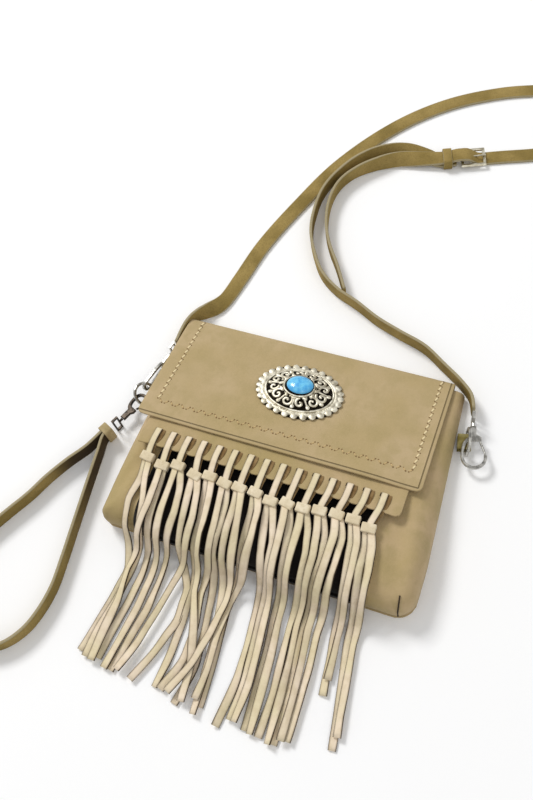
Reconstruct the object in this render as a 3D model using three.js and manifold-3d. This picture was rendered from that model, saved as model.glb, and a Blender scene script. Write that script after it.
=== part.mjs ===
// A fringed suede shoulder bag, lying on its back. Millimetres, +Z up.
// The origin is on the flat back panel. +X is across the bag and +Y is towards the top of the bag.
import * as THREE from "three";
import { mergeVertices } from "three/addons/utils/BufferGeometryUtils.js";
import Module from "manifold-3d";

const wasm = await Module();
wasm.setup();

// Driving dimensions of the bag
const GAP = 0.3; // between pieces that touch
const BODY_WIDTH = 250;
const BODY_BOTTOM = -97;
const MOUTH = 89;
const MOUTH_RIGHT = 116.5; // the right side leans in towards the mouth
const TAPER_FROM = -55;
const BACK_LEATHER = 1.8;
const POUCH_LEATHER = 1.8;
const LINING_CLOTH = 0.5;
const MOUTH_DEPTH = 9.5;
const FRONT_SLOPE = 0.185;
const FLAP_LEFT = -123;
const FLAP_RIGHT = 107;
const FLAP_TOP = 94;
const FLAP_EDGE = -11;
const FLAP_LEATHER = 1.6;
const FLAP_LINING = 0.8;
const FLAP_TOP_HEIGHT = 12;
const FLAP_SLOPE = 0.2228;

// Fringe
const LACES = 15;
const LACE_PITCH = 13.1;
const LACE_WIDTH = 5.8;
const LACE_LEATHER = 1.3;
const LACE_LIFT = 2; // one lace lying on another
const STRIP_LEFT = -114;
const STRIP_RIGHT = 98;
const STRIP_EDGE = -30;
const STRIP_LEATHER = 1.4;
const SLOT_ROW = -21;
const SLOT_WIDTH = 7;
const SLOT_HEIGHT = 3;
const SLOT_CENTRE = -9;
const BACKING_CLOTH = 0.6;
const KNOT = [10, 6.4, 5.8];

// Straps and metal
const STRAP_WIDTH = 14;
const STRAP_LEATHER = 2.6;
const WIRE = 2.4;
const TAB_WIDTH = 13;
const TAB_REACH = 7.2;
const TAB_LEATHER = 1.3;
const RING_WIDTH = 16; // inside, along the bar
const RING_REACH = 14;
const RING_HOLE = 1.9;
const HOOK_DEPTH = 3;
const HOOK_NECK = 2.3;
const EYE_SLOT = 14.6;
const EYE_WIRE = 1.4;
const EYE_REACH = 6.4;
const EYE_DEPTH = 2.4;
const STONE = [22, 18];
const ORNAMENT = [73, 55];
const ORNAMENT_PLACE = [-8, 44];
const SCREW = 4;
const CLOSURE = 17;
const CLOSURE_PLACE = [-8, 15];

const group = new THREE.Group();

function leather(color) {
  return new THREE.MeshStandardMaterial({ color, roughness: 0.85, metalness: 0 });
}

function metal(color) {
  return new THREE.MeshStandardMaterial({ color, roughness: 0.3, metalness: 1 });
}

// A closed geometry as a solid that can be joined and cut.
function solid(geometry) {
  const bare = geometry.clone();
  bare.deleteAttribute("normal");
  bare.deleteAttribute("uv");
  const merged = mergeVertices(bare, 1e-4);
  const vertProperties = new Float32Array(merged.attributes.position.array);
  const triVerts = new Uint32Array(merged.index.array);
  const mesh = new wasm.Mesh({ numProp: 3, vertProperties, triVerts });
  return new wasm.Manifold(mesh);
}

function geometryOf(body) {
  const mesh = body.getMesh();
  const geometry = new THREE.BufferGeometry();
  geometry.setAttribute("position", new THREE.BufferAttribute(mesh.vertProperties, 3));
  geometry.setIndex(new THREE.BufferAttribute(mesh.triVerts, 1));
  return geometry;
}

function add(name, shape, material, parent = group) {
  const geometry = shape.isBufferGeometry ? shape : geometryOf(shape);
  const mesh = new THREE.Mesh(geometry, material);
  mesh.name = name;
  parent.add(mesh);
  return mesh;
}

function box(x0, x1, y0, y1, z0, z1) {
  const geometry = new THREE.BoxGeometry(x1 - x0, y1 - y0, z1 - z0);
  return geometry.translate((x0 + x1) / 2, (y0 + y1) / 2, (z0 + z1) / 2);
}

function outline(points) {
  return new THREE.Shape(points.map(([x, y]) => new THREE.Vector2(x, y)));
}

// Extrudes an outline drawn in Y and Z from x0 to x1, with its ends rounded by round.
function across(points, x0, x1, round = 0) {
  const settings = {
    depth: x1 - x0 - 2 * round,
    bevelEnabled: round > 0,
    bevelThickness: round,
    bevelSize: Math.min(round, 3),
    bevelOffset: -Math.min(round, 3),
    bevelSegments: 3,
  };
  const geometry = new THREE.ExtrudeGeometry(outline(points), settings);
  const turn = new THREE.Matrix4().makeBasis(
    new THREE.Vector3(0, 1, 0),
    new THREE.Vector3(0, 0, 1),
    new THREE.Vector3(1, 0, 0),
  );
  return geometry.applyMatrix4(turn).translate(x0 + round, 0, 0);
}

// Extrudes an outline drawn in X and Y upwards, with any holes.
function plate(shape, z0, z1, round = 0) {
  const settings = {
    depth: z1 - z0 - 2 * round,
    bevelEnabled: round > 0,
    bevelThickness: round,
    bevelSize: round,
    bevelOffset: -round,
    bevelSegments: 1,
    curveSegments: 8,
  };
  return new THREE.ExtrudeGeometry(shape, settings).translate(0, 0, z0 + round);
}

// A flat strip along a route of [x, y, z, turn]. A turn of 0 lies flat and 90 stands on edge.
function ribbon(route, width, thickness, steps) {
  const curve = new THREE.CatmullRomCurve3(
    route.map(([x, y, z]) => new THREE.Vector3(x, y, z)),
    false,
    "centripetal",
  );
  const turnAt = (t) => {
    const place = t * (route.length - 1);
    const first = Math.min(Math.floor(place), route.length - 2);
    const part = place - first;
    const from = route[first][3] ?? 0;
    const to = route[first + 1][3] ?? 0;
    return THREE.MathUtils.degToRad(from + (to - from) * part);
  };
  curve.computeFrenetFrames = (segments) => {
    const frames = { tangents: [], normals: [], binormals: [] };
    for (let i = 0; i <= segments; i++) {
      const u = i / segments;
      const tangent = curve.getTangentAt(u);
      const side = new THREE.Vector3(tangent.y, -tangent.x, 0).normalize();
      side.applyAxisAngle(tangent, turnAt(curve.getUtoTmapping(u)));
      frames.tangents.push(tangent);
      frames.normals.push(side);
      frames.binormals.push(new THREE.Vector3().crossVectors(tangent, side));
    }
    return frames;
  };
  const [w, t] = [width / 2, thickness / 2];
  const section = outline([[-w, -t], [w, -t], [w, t], [-w, t]]);
  return new THREE.ExtrudeGeometry(section, { steps, extrudePath: curve, bevelEnabled: false });
}

// A round rod between two points.
function rod(from, to, radius, sides = 12) {
  const a = new THREE.Vector3(...from);
  const b = new THREE.Vector3(...to);
  const geometry = new THREE.CylinderGeometry(radius, radius, a.distanceTo(b), sides);
  const turn = new THREE.Quaternion().setFromUnitVectors(
    new THREE.Vector3(0, 1, 0),
    b.clone().sub(a).normalize(),
  );
  return geometry.applyQuaternion(turn).translate(...a.add(b).multiplyScalar(0.5).toArray());
}

function join(...shapes) {
  return shapes.map(solid).reduce((whole, piece) => whole.add(piece));
}

// Height of the outside of the pouch front, from the mouth down to the bottom of the bag
const FRONT = [
  [MOUTH, MOUTH_DEPTH],
  [FLAP_EDGE, MOUTH_DEPTH + (MOUTH - FLAP_EDGE) * FRONT_SLOPE],
  [-40, 31],
  [-65, 32],
  [-84, 29.5],
  [-93, 22],
  [BODY_BOTTOM, 10],
  [BODY_BOTTOM + 2, BACK_LEATHER + GAP],
];

function heightOf(line, y) {
  const after = Math.max(1, line.findIndex(([at]) => at <= y));
  const [y0, z0] = line[after - 1];
  const [y1, z1] = line[after];
  return z0 + ((z1 - z0) * (y - y0)) / (y1 - y0);
}

// The front outline moved inwards by a distance, as points in Y and Z.
function shifted(distance) {
  return FRONT.map(([y, z], i) => {
    const before = FRONT[Math.max(0, i - 1)];
    const after = FRONT[Math.min(FRONT.length - 1, i + 1)];
    const along = new THREE.Vector2(after[0] - before[0], after[1] - before[1]).normalize();
    return [y - along.y * distance, z + along.x * distance];
  });
}

// The shifted outline as a closed hollow, open at the top.
function inside(distance, top, floor) {
  const moved = shifted(distance);
  moved[0] = [top, heightOf(FRONT, MOUTH) - distance - (top - MOUTH) * FRONT_SLOPE];
  moved[moved.length - 1][1] = floor;
  return [[top, floor], ...moved];
}

// Height of the top of the flap
const flapHeight = (y) => FLAP_TOP_HEIGHT + (FLAP_TOP - y) * FLAP_SLOPE;
const FLAP_TILT = Math.atan(FLAP_SLOPE);
const flapDrop = (distance) => distance / Math.cos(FLAP_TILT);

// Back panel and flap, one piece of leather folded over the mouth
function backAndFlap() {
  const half = BODY_WIDTH / 2;
  const corner = 8;
  const panel = new THREE.Shape();
  panel.moveTo(-half, MOUTH);
  panel.lineTo(-half, BODY_BOTTOM + corner);
  panel.quadraticCurveTo(-half, BODY_BOTTOM, -half + corner, BODY_BOTTOM);
  panel.lineTo(half - corner, BODY_BOTTOM);
  panel.quadraticCurveTo(half, BODY_BOTTOM, half, BODY_BOTTOM + corner);
  panel.lineTo(half, TAPER_FROM);
  panel.lineTo(MOUTH_RIGHT, MOUTH);
  const fold = [
    [MOUTH - 20, 0],
    [MOUTH, 0],
    [MOUTH + 3.5, 1],
    [MOUTH + 5.6, 3.6],
    [MOUTH + 6, 7],
    [FLAP_TOP, flapHeight(FLAP_TOP) - 1.2],
    [FLAP_TOP - 3, flapHeight(FLAP_TOP - 3)],
    [FLAP_EDGE, flapHeight(FLAP_EDGE)],
    [FLAP_EDGE, flapHeight(FLAP_EDGE) - flapDrop(FLAP_LEATHER)],
    [FLAP_TOP - 4, flapHeight(FLAP_TOP - 4) - flapDrop(FLAP_LEATHER)],
    [MOUTH + 4.3, 7],
    [MOUTH + 4, 4],
    [MOUTH + 2.5, 2.3],
    [MOUTH, BACK_LEATHER],
    [MOUTH - 20, BACK_LEATHER],
  ];
  const hole = flapRod(ORNAMENT_PLACE, -6, 3, SCREW / 2 + GAP);
  return join(plate(panel, 0, BACK_LEATHER), across(fold, FLAP_LEFT, FLAP_RIGHT)).subtract(solid(hole));
}

// A rod square to the flap, from one height to another above its top face.
function flapRod([x, y], low, high, radius, sides = 16) {
  const tilt = ([, h]) => [x, y + h * Math.sin(FLAP_TILT), flapHeight(y) + h * Math.cos(FLAP_TILT)];
  return rod(tilt([0, low]), tilt([0, high]), radius, sides);
}

function pouch() {
  const half = BODY_WIDTH / 2 - 1;
  const floor = BACK_LEATHER + GAP;
  const round = 8;
  const outer = [[MOUTH, floor], ...FRONT];
  const hollow = inside(POUCH_LEATHER, MOUTH + 5, floor - 5);
  const shell = solid(across(outer, -half, half, round)).intersect(leaning(1));
  return shell.subtract(solid(across(hollow, -half + round + 2, half - round - 2)).intersect(leaning(11)));
}

// The room above the back panel, leaning in at the right, and set in by a distance.
function leaning(inset) {
  const half = BODY_WIDTH / 2 + 1 - inset;
  const right = MOUTH_RIGHT - inset;
  const slope = (BODY_WIDTH / 2 - MOUTH_RIGHT) / (MOUTH - TAPER_FROM);
  const plan = outline([
    [-half, BODY_BOTTOM - 5],
    [BODY_WIDTH / 2 - inset, BODY_BOTTOM - 5],
    [BODY_WIDTH / 2 - inset, TAPER_FROM],
    [right - 10 * slope, MOUTH + 10],
    [-half, MOUTH + 10],
  ]);
  return solid(plate(plan, -10, 60));
}

function liningBag() {
  const half = BODY_WIDTH / 2 - 11 - GAP;
  const floor = BACK_LEATHER + GAP;
  const outer = inside(POUCH_LEATHER + GAP, MOUTH - 1, floor);
  const hollow = inside(POUCH_LEATHER + GAP + LINING_CLOTH, MOUTH + 5, floor + LINING_CLOTH);
  hollow[hollow.length - 1][0] += LINING_CLOTH;
  const bag = solid(across(outer, -half, half)).intersect(leaning(11 + GAP));
  const room = solid(across(hollow, -half + LINING_CLOTH, half - LINING_CLOTH));
  return bag.subtract(room.intersect(leaning(11 + GAP + LINING_CLOTH)));
}

// A layer under the flap, between two depths below its top face.
function underFlap(x0, x1, y0, y1, shallow, deep) {
  const points = [
    [y0, flapHeight(y0) - flapDrop(deep)],
    [y1, flapHeight(y1) - flapDrop(deep)],
    [y1, flapHeight(y1) - flapDrop(shallow)],
    [y0, flapHeight(y0) - flapDrop(shallow)],
  ];
  return across(points, x0, x1);
}

const LINING_TOP = FLAP_LEATHER + GAP;
const STRIP_TOP = LINING_TOP + FLAP_LINING + GAP;

function slotX(lace) {
  return SLOT_CENTRE + (lace - 8) * LACE_PITCH;
}

function fringeStrip() {
  const deep = STRIP_TOP + STRIP_LEATHER;
  let strip = solid(underFlap(STRIP_LEFT, STRIP_RIGHT, STRIP_EDGE, 2, STRIP_TOP, deep));
  for (let lace = 1; lace <= LACES; lace++) {
    const x = slotX(lace);
    const z = flapHeight(SLOT_ROW) - deep;
    const [w, h] = [SLOT_WIDTH / 2, SLOT_HEIGHT / 2];
    strip = strip.subtract(solid(box(x - w, x + w, SLOT_ROW - h, SLOT_ROW + h, z - 5, z + 8)));
  }
  return strip;
}

// Laces: where each knot lies, and where its two tails run at each station down the bag
const KNOTS = [
  [-100, -45], [-86, -48.5], [-74, -45], [-58.5, -48.5], [-47, -46],
  [-34, -48], [-22, -48], [-9, -48], [4, -51], [16.5, -49],
  [29, -49], [41, -47], [54, -46], [66.5, -46], [79, -49],
];
const STATIONS = [-62, -80, -100, -125, -150, -175];
const TAILS = [
  [[-99, -101, -99, -92, -94, -98, -101, -193], [-95, -89, -86, -88, -90, -94, -95, -196]],
  [[-85, -84, -87, -90, -88, -89, -89, -197], [-83, -81, -80, -79, -81, -84, -86, -194]],
  [[-74, -73, -72, -71, -72, -75, -78, -199], [-66, -63, -64, -64, -65, -69, -73, -199]],
  [[-58, -55, -53, -41, -39, -46, -56, -200], [-51, -47, -47, -52, -56, -61, -68, -197]],
  [[-45, -41, -41, -37, -35, -35, -37, -199], [-41, -38, -37, -34, -25, -17, -14, -202]],
  [[-33, -30, -29, -29, -24, -24, -32, -199], [-28, -26, -26, -21, -17, -14, -19, -205]],
  [[-21, -20, -18, -13, -8, -5, -3, -207], [-16, -12, -9, -8, -11, -16, -26, -199]],
  [[-8, -6, -4, -7, -5, -2, -1, -201], [-2, 0, 0, -5, -6, -4, -5, -197]],
  [[4, 8, 12, 15, 17, 18, 15, -209], [10, 16, 18, 19, 22, 24, 23, -202]],
  [[18, 20, 21, 23, 26, 28, 27, -202], [23, 26, 28, 29, 32, 34, 35, -205]],
  [[30, 31, 32, 33, 36, 38, 40, -206], [37, 41, 42, 42, 44, 46, 46, -206]],
  [[44, 47, 47, 47, 50, 52, 54, -208], [50, 53, 52, 52, 55, 57, 58, -207]],
  [[57, 57, 56, 56, 59, 61, 62, -203], [63, 64, 63, 63, 65, 66, 66, -202]],
  [[70, 72, 74, 75, 78, 80, 80, -165], [74, 76, 77, 78, 80, 80, 80, -154]],
  [[80, 81, 84, 86, 90, 94, 97, -197], [85, 88, 89, 90, 93, 96, 98, -188]],
];
// The surface that the lowest tails follow, in Y and Z, from the knots to the table
const SLOPE = [
  [-45, 33.4], [-62, 34.6], [-80, 34.6], [-92, 31], [-99, 24], [-104, 14],
  [-109, 6], [-116, 2.2], [-125, 1.1], [-220, 1.1],
];

// A point on the slope, lifted square to it by a number of lace layers.
function onSlope(x, y, layer) {
  const before = heightOf(SLOPE, y + 3);
  const after = heightOf(SLOPE, y - 3);
  const out = new THREE.Vector2(before - after, 6).normalize();
  const lift = layer * LACE_LIFT;
  return [x, y - out.x * lift, heightOf(SLOPE, y) + out.y * lift];
}

function tailX(tail, y) {
  const line = [...STATIONS.map((at, i) => [at, tail[i]]), [tail[7], tail[6]]];
  return y >= STATIONS[0] ? tail[0] : heightOf(line, Math.max(y, tail[7]));
}

// Puts each tail in the lowest layer in which no earlier tail crosses it.
function layersOf(tails) {
  const layers = [];
  tails.forEach((tail, i) => {
    const taken = new Set();
    for (let j = 0; j < i; j++)
      for (let y = -58; y > Math.max(tail[7], tails[j][7]) - 8; y -= 2)
        if (Math.abs(tailX(tail, y) - tailX(tails[j], y)) < LACE_WIDTH + 2.4) taken.add(layers[j]);
    let layer = 0;
    while (taken.has(layer)) layer++;
    layers.push(layer);
  });
  return layers;
}

const LAYERS = layersOf(TAILS.flat());

const SLOPE_STOPS = [-62, -71, -80, -88, -94, -99, -103, -107, -112, -118, -125, -137, -150, -162, -175];

function tailRibbon(lace, which) {
  const tail = TAILS[lace - 1][which];
  const layer = LAYERS[2 * (lace - 1) + which];
  const [x, y] = KNOTS[lace - 1];
  const stops = SLOPE_STOPS.filter((at) => at > tail[7] + 6);
  const route = [
    [x + (which ? 1.5 : -1.5), y, heightOf(SLOPE, y) + 2.6],
    ...stops.map((at) => onSlope(tailX(tail, at), at, layer)),
    onSlope(tail[6], tail[7], layer),
  ];
  return ribbon(route, LACE_WIDTH, LACE_LEATHER, stops.length + 3);
}

function lace(number) {
  const x = slotX(number);
  const [kx, ky] = KNOTS[number - 1];
  const base = heightOf(SLOPE, ky);
  const top = flapHeight(SLOT_ROW) - flapDrop(STRIP_TOP);
  const front = top + 0.4 + LACE_LEATHER / 2;
  const back = top - flapDrop(STRIP_LEATHER) - 0.4 - LACE_LEATHER / 2;
  const fall = (STRIP_EDGE - SLOT_ROW) * FLAP_SLOPE;
  const edge = STRIP_EDGE - 2;
  const [halfLong, halfWide] = [KNOT[0] / 2, KNOT[1] / 2];
  const band = (route) => ribbon(route, LACE_WIDTH, LACE_LEATHER, 4);
  const bands = [
    band([[x, SLOT_ROW + 0.6, front], [x, edge, front - fall], [kx, ky, base + 4]]),
    band([[x, SLOT_ROW + 0.6, back], [x, edge, back - fall], [kx, ky, base + 1]]),
    box(x - LACE_WIDTH / 2, x + LACE_WIDTH / 2, SLOT_ROW - 0.7, SLOT_ROW + 0.5, back, front),
    box(kx - halfLong, kx + halfLong, ky - halfWide, ky + halfWide, base - 0.4, base - 0.4 + KNOT[2]),
  ];
  return join(...bands, tailRibbon(number, 0), tailRibbon(number, 1));
}

// Oval ornament: a scalloped rim with a low dome, screwed through the flap
function ornament() {
  const rim = new THREE.Shape();
  const lobes = 32;
  const points = lobes * 4;
  for (let i = 0; i < points; i++) {
    const angle = (i / points) * 2 * Math.PI;
    const reach = 1 - 0.03 * (1 - Math.abs(Math.sin((angle * lobes) / 2)));
    const x = (ORNAMENT[0] / 2) * reach * Math.cos(angle);
    const y = (ORNAMENT[1] / 2) * reach * Math.sin(angle);
    if (i) rim.lineTo(x, y);
    else rim.moveTo(x, y);
  }
  const profile = [[0, 0.6], [29, 0.6], [29, 2.2], [24, 3.4], [15, 6], [10, 6.6], [0, 6.6]];
  const dome = new THREE.LatheGeometry(profile.map(([x, y]) => new THREE.Vector2(x, y)), 32);
  dome.rotateX(Math.PI / 2).scale(1, ORNAMENT[1] / ORNAMENT[0], 1);
  return join(plate(rim, 0, 1.8), dome);
}

function stone() {
  const profile = [[0, 0], [1, 0], [0.98, 1.6], [0.8, 3.2], [0.45, 4.3], [0, 4.6]];
  const cap = new THREE.LatheGeometry(profile.map(([x, y]) => new THREE.Vector2(x, y)), 24);
  return cap.rotateX(Math.PI / 2).scale(STONE[0] / 2, STONE[1] / 2, 1);
}

// Stands a piece on the flap at a place, square to it, at a height above its top face.
function onFlap(mesh, [x, y], height) {
  mesh.rotation.x = -FLAP_TILT;
  mesh.position.set(x, y + height * Math.sin(FLAP_TILT), flapHeight(y) + height * Math.cos(FLAP_TILT));
}

function closureHalf(thickness) {
  const disc = new THREE.CylinderGeometry(CLOSURE / 2, CLOSURE / 2, thickness, 24);
  return disc.rotateX(Math.PI / 2).translate(0, 0, thickness / 2);
}

// A D shaped ring, drawn in X and Y with the middle of its straight bar at the origin.
function dRing() {
  const h = RING_WIDTH / 2;
  const dShape = (grow, target) => {
    target.moveTo(WIRE / 2 - grow, -h - grow);
    target.lineTo(RING_REACH - h, -h - grow);
    target.absarc(RING_REACH - h, 0, h + grow, -Math.PI / 2, Math.PI / 2, false);
    target.lineTo(WIRE / 2 - grow, h + grow);
    target.closePath();
    return target;
  };
  const shape = dShape(WIRE, new THREE.Shape());
  shape.holes.push(dShape(0, new THREE.Path()));
  return plate(shape, -WIRE / 2, WIRE / 2, 0.5);
}

// A leather tab folded round the ring's bar, drawn in X and Z from the bag's side to the fold.
function tab() {
  const fold = RING_HOLE + TAB_LEATHER;
  const shape = new THREE.Shape();
  shape.moveTo(-TAB_REACH, -fold);
  shape.lineTo(0, -fold);
  shape.absarc(0, 0, fold, -Math.PI / 2, Math.PI / 2, false);
  shape.lineTo(-TAB_REACH, fold);
  shape.closePath();
  const hole = new THREE.Path();
  hole.absarc(0, 0, RING_HOLE, 0, 2 * Math.PI, true);
  shape.holes.push(hole);
  return plate(shape, -TAB_WIDTH / 2, TAB_WIDTH / 2).rotateX(Math.PI / 2);
}

// A spring snap hook drawn in X and Y: neck at the top, bow down to y = -length.
function snapHook(length, width) {
  const w = width / 2;
  const low = -length + w;
  const body = new THREE.Shape();
  body.moveTo(-HOOK_NECK, -3);
  body.lineTo(HOOK_NECK, -3);
  body.lineTo(HOOK_NECK, -12);
  body.quadraticCurveTo(w, -14, w, low);
  body.absarc(0, low, w, 0, -Math.PI, true);
  body.lineTo(-w, low + 1.5);
  body.lineTo(-w + WIRE, low + 1.5);
  body.lineTo(-w + WIRE, low);
  body.absarc(0, low, w - WIRE, -Math.PI, 0, false);
  body.quadraticCurveTo(w - WIRE, -15.5, 1, -15.5);
  body.lineTo(-w * 0.6, -15.5);
  body.lineTo(-w * 0.6, -12.5);
  body.lineTo(-HOOK_NECK, -10);
  body.closePath();
  return plate(body, -HOOK_DEPTH / 2, HOOK_DEPTH / 2, 0.5);
}

// The sprung gate that closes the hook, from its pivot at the top to the end of the bow.
function hookGate(length, width) {
  const w = width / 2;
  return rod([-w * 0.6 + 0.9, -16.3, 0], [-w + WIRE / 2, -length + w + 2.3, 0], 0.9, 8);
}

// The swivel eye above a hook, standing in the plane of local Y and Z.
function swivelEye() {
  const [tall, slot] = [EYE_SLOT / 2 + EYE_WIRE, EYE_SLOT / 2];
  const frame = outline([[0, -tall], [EYE_REACH, -tall], [EYE_REACH, tall], [0, tall]]);
  const [near, far] = [EYE_WIRE, EYE_REACH - EYE_WIRE];
  frame.holes.push(outline([[near, -slot], [near, slot], [far, slot], [far, -slot]]));
  const ring = plate(frame, -EYE_DEPTH / 2, EYE_DEPTH / 2, 0.4);
  ring.rotateX(Math.PI / 2).rotateZ(Math.PI / 2);
  return join(ring, rod([0, 0.5, 0], [0, -2.7, 0], 1.1, 8));
}

// The folded end of a strap round the far bar of a swivel eye, in the eye's own place.
function strapFold(tall) {
  const half = tall / 2;
  const block = solid(box(-2.8, 2.8, EYE_WIRE + 0.5, EYE_REACH + 3.4, -half, half));
  const bar = [EYE_REACH - EYE_WIRE - GAP, EYE_REACH + GAP];
  return block.subtract(solid(box(-EYE_DEPTH / 2 - GAP, EYE_DEPTH / 2 + GAP, bar[0], bar[1], -20, 20)));
}

// A group that stands at a place, with its Y axis turned to a direction and its face tipped.
function stand([x, y, z], [dx, dy], tip = 0) {
  const place = new THREE.Group();
  place.position.set(x, y, z);
  place.rotation.set(0, tip, Math.atan2(-dx, dy), "ZYX");
  place.updateMatrixWorld(true);
  group.add(place);
  return place;
}

// A local solid moved to where its group stands.
function placed(body, place) {
  place.updateMatrixWorld(true);
  return solid(geometryOf(body).applyMatrix4(place.matrixWorld));
}

const TAN = 0xb39d6f;
const CREAM = 0xe2d3b4;
const SILVER = 0xb9b6ad;
const DARK = 0x1a1512;

add("back_and_flap", backAndFlap(), leather(TAN));
add("front_pouch", pouch(), leather(TAN));
add("lining", liningBag(), leather(0x6b5a44));

const flapHole = flapRod(ORNAMENT_PLACE, -8, 3, SCREW / 2 + GAP);
const layerSides = [FLAP_LEFT + 2, FLAP_RIGHT - 2, FLAP_EDGE + 1, 84];
const flapLayer = underFlap(...layerSides, LINING_TOP, LINING_TOP + FLAP_LINING);
add("flap_lining", solid(flapLayer).subtract(solid(flapHole)), leather(0x8a7757));
add("fringe_strip", fringeStrip(), leather(TAN));

// Dark cloth panel on the pouch behind the laces, from lace 1 to lace 15
const backing = [
  ...shifted(-GAP - 0.1).slice(1, 6),
  ...shifted(-GAP - 0.1 - BACKING_CLOTH).slice(1, 6).reverse(),
];
add("fringe_backing", across(backing, -95, 88), leather(DARK));

for (let number = 1; number <= LACES; number++)
  add("fringe_lace_" + String(number).padStart(2, "0"), lace(number), leather(CREAM));

onFlap(add("concho_plate", ornament(), metal(SILVER)), ORNAMENT_PLACE, GAP);
const turquoise = new THREE.MeshStandardMaterial({ color: 0x50a8e4, roughness: 0.25, metalness: 0 });
onFlap(add("concho_stone", stone(), turquoise), ORNAMENT_PLACE, 7.2);

const screwHead = new THREE.CylinderGeometry(SCREW + 0.5, SCREW + 0.5, 1, 16).rotateX(Math.PI / 2);
screwHead.translate(0, 0, -LINING_TOP - FLAP_LINING - GAP - 0.5);
const shankTop = -0.1;
const shank = rod([0, 0, -LINING_TOP - FLAP_LINING - GAP - 0.6], [0, 0, shankTop], SCREW / 2, 12);
onFlap(add("concho_screw", join(screwHead, shank), metal(SILVER)), ORNAMENT_PLACE, 0);

const stud = add("snap_stud", closureHalf(1.2), metal(SILVER));
onFlap(stud, CLOSURE_PLACE, -LINING_TOP - FLAP_LINING - GAP - 1.2);
const socket = add("snap_socket", closureHalf(1.2), metal(SILVER));
socket.rotation.x = -Math.atan(FRONT_SLOPE);
socket.position.set(CLOSURE_PLACE[0], CLOSURE_PLACE[1], heightOf(FRONT, CLOSURE_PLACE[1]) + GAP);

// Tabs and rings at the sides, as [name, place of the bar, turn, tip of the ring]
const SIDES = [
  ["right", [127.8, 50, 4.2], 12, 85],
  ["left", [-132.6, 16, 4.2], 180, 40],
];
for (const [name, place, turn, tip] of SIDES) {
  const tabMesh = add("side_tab_" + name, tab(), leather(0x7d7040));
  const ring = add("d_ring_" + name, dRing(), metal(SILVER));
  for (const mesh of [tabMesh, ring]) mesh.position.set(...place);
  tabMesh.rotation.z = THREE.MathUtils.degToRad(turn);
  ring.rotation.set(0, -THREE.MathUtils.degToRad(tip), tabMesh.rotation.z, "ZYX");
}

// Snap hooks: [name, eye place, direction from bow to eye, length, width, tip of the face]
const HOOKS = [
  ["right_hook", [128.5, 66, 9.2], [-0.249, 0.969], 39, 20, Math.PI],
  ["left_hook", [-130.2, 58.5, 9.2], [0.23, 0.973], 40.5, 12, -Math.PI / 2],
  ["wrist_clasp", [-147, -14, 9.2], [-0.38, -0.925], 30.5, 13, 0],
];
const stands = {};
for (const [name, eye, direction, length, width, tip] of HOOKS) {
  const upright = stand(eye, direction);
  const flat = stand(eye, direction, tip);
  add(name + "_frame", snapHook(length, width), metal(SILVER), flat);
  add(name + "_gate", hookGate(length, width), metal(SILVER), flat);
  add(name + "_swivel", swivelEye(), metal(SILVER), upright);
  stands[name] = upright;
}

// Straps: hand-chosen points of [x, y, z, turn]
const LONG_ROUTE = [
  [-128.1, 67.2, 9.2, 90], [-128.2, 80, 9, 90], [-127.6, 90, 8.6, 90], [-122, 104, 7.6, 80],
  [-114, 119, 6.6, 40],
  [-107, 137, 2.4, 0], [-93, 191, 1.5, 0], [-77, 243, 1.5, 0], [-55, 297, 1.5, 0], [-14, 358, 1.5, 0],
  [25, 394, 1.5, 0], [68, 418, 1.5, 0], [97, 428, 1.5, 0], [125, 434, 1.5, 0], [151, 430, 1.5, 0],
  [165, 410, 1.5, 0], [163, 385, 1.5, 0], [146, 363, 1.5, 0], [115, 350, 1.5, 0], [90, 341.6, 1.5, 0],
  [80, 338.1, 1.5, 0], [73, 335.6, 1.4, 0], [68.4, 334, 1.7, 0], [63, 332.1, 5.4, 0], [58.2, 330.4, 9, 0],
  [53.4, 328.7, 9.4, 0], [48.7, 327, 9.3, 0], [44.9, 325.7, 8.2, 0], [37.4, 323, 7, 0], [19, 318.5, 6, -15],
  [-2, 312.5, 6.6, -45], [-20, 302, 7.4, -75], [-37, 287, 7.4, -90], [-46.5, 270, 7.4, -90],
  [-49, 252, 7.4, -90], [-47, 234, 7.4, -90], [-42, 217, 7.4, -90], [-33, 199, 7.4, -90],
  [-20, 180, 7.4, -90], [-5.9, 156.9, 7.4, -90],
];
const SHORT_ROUTE = [
  [126.1, 75.5, 9.2, 90], [121.4, 87, 8.8, 90], [113.5, 95.2, 8, 90], [93, 109.5, 7.4, 90],
  [75, 121, 7.4, 90],
  [51, 129, 7.4, 90], [30, 136.5, 7.4, 90], [8, 147.5, 7.4, 90], [-13, 156.5, 7.4, 90], [-30, 169, 7.4, 90],
  [-43, 187, 7.4, 90], [-54, 209, 7.4, 90], [-58.5, 231, 7.4, 90], [-58.5, 259, 7.4, 90], [-50, 284, 7.4, 90],
  [-34, 306.5, 7.4, 80], [-16, 319, 7, 62], [2, 325.5, 5.4, 38], [20, 325, 3.9, 15], [35.2, 322.4, 2.9, 0],
  [48.4, 327, 3.2, 0],
];
const WRIST_ROUTE = [
  [-152.6, -22.6, 9.2, 90], [-155.6, -29, 9, 90], [-163, -44, 8, 90], [-174, -60, 7.4, 90],
  [-184, -78, 7.4, 90], [-192, -96, 7.4, 90], [-202, -114, 7.4, 90], [-212, -133, 7.4, 90],
  [-221, -153, 7.4, 90], [-226, -175, 7.4, 90], [-222, -196, 7.4, 90], [-209, -212, 7.4, 90],
  [-190, -219, 7.4, 90], [-170, -217, 7.4, 90], [-156, -208, 7.4, 90], [-146, -194, 7.4, 90],
  [-141, -178, 7.4, 90], [-139, -158, 7.4, 90], [-141, -136, 7.4, 90], [-144, -112, 7.4, 90],
  [-147, -88, 7.4, 90], [-149.5, -66, 7.8, 90], [-151.4, -46, 8.6, 90], [-152.7, -30.2, 9, 90],
  [-149.9, -23.6, 9.2, 90],
];

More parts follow.
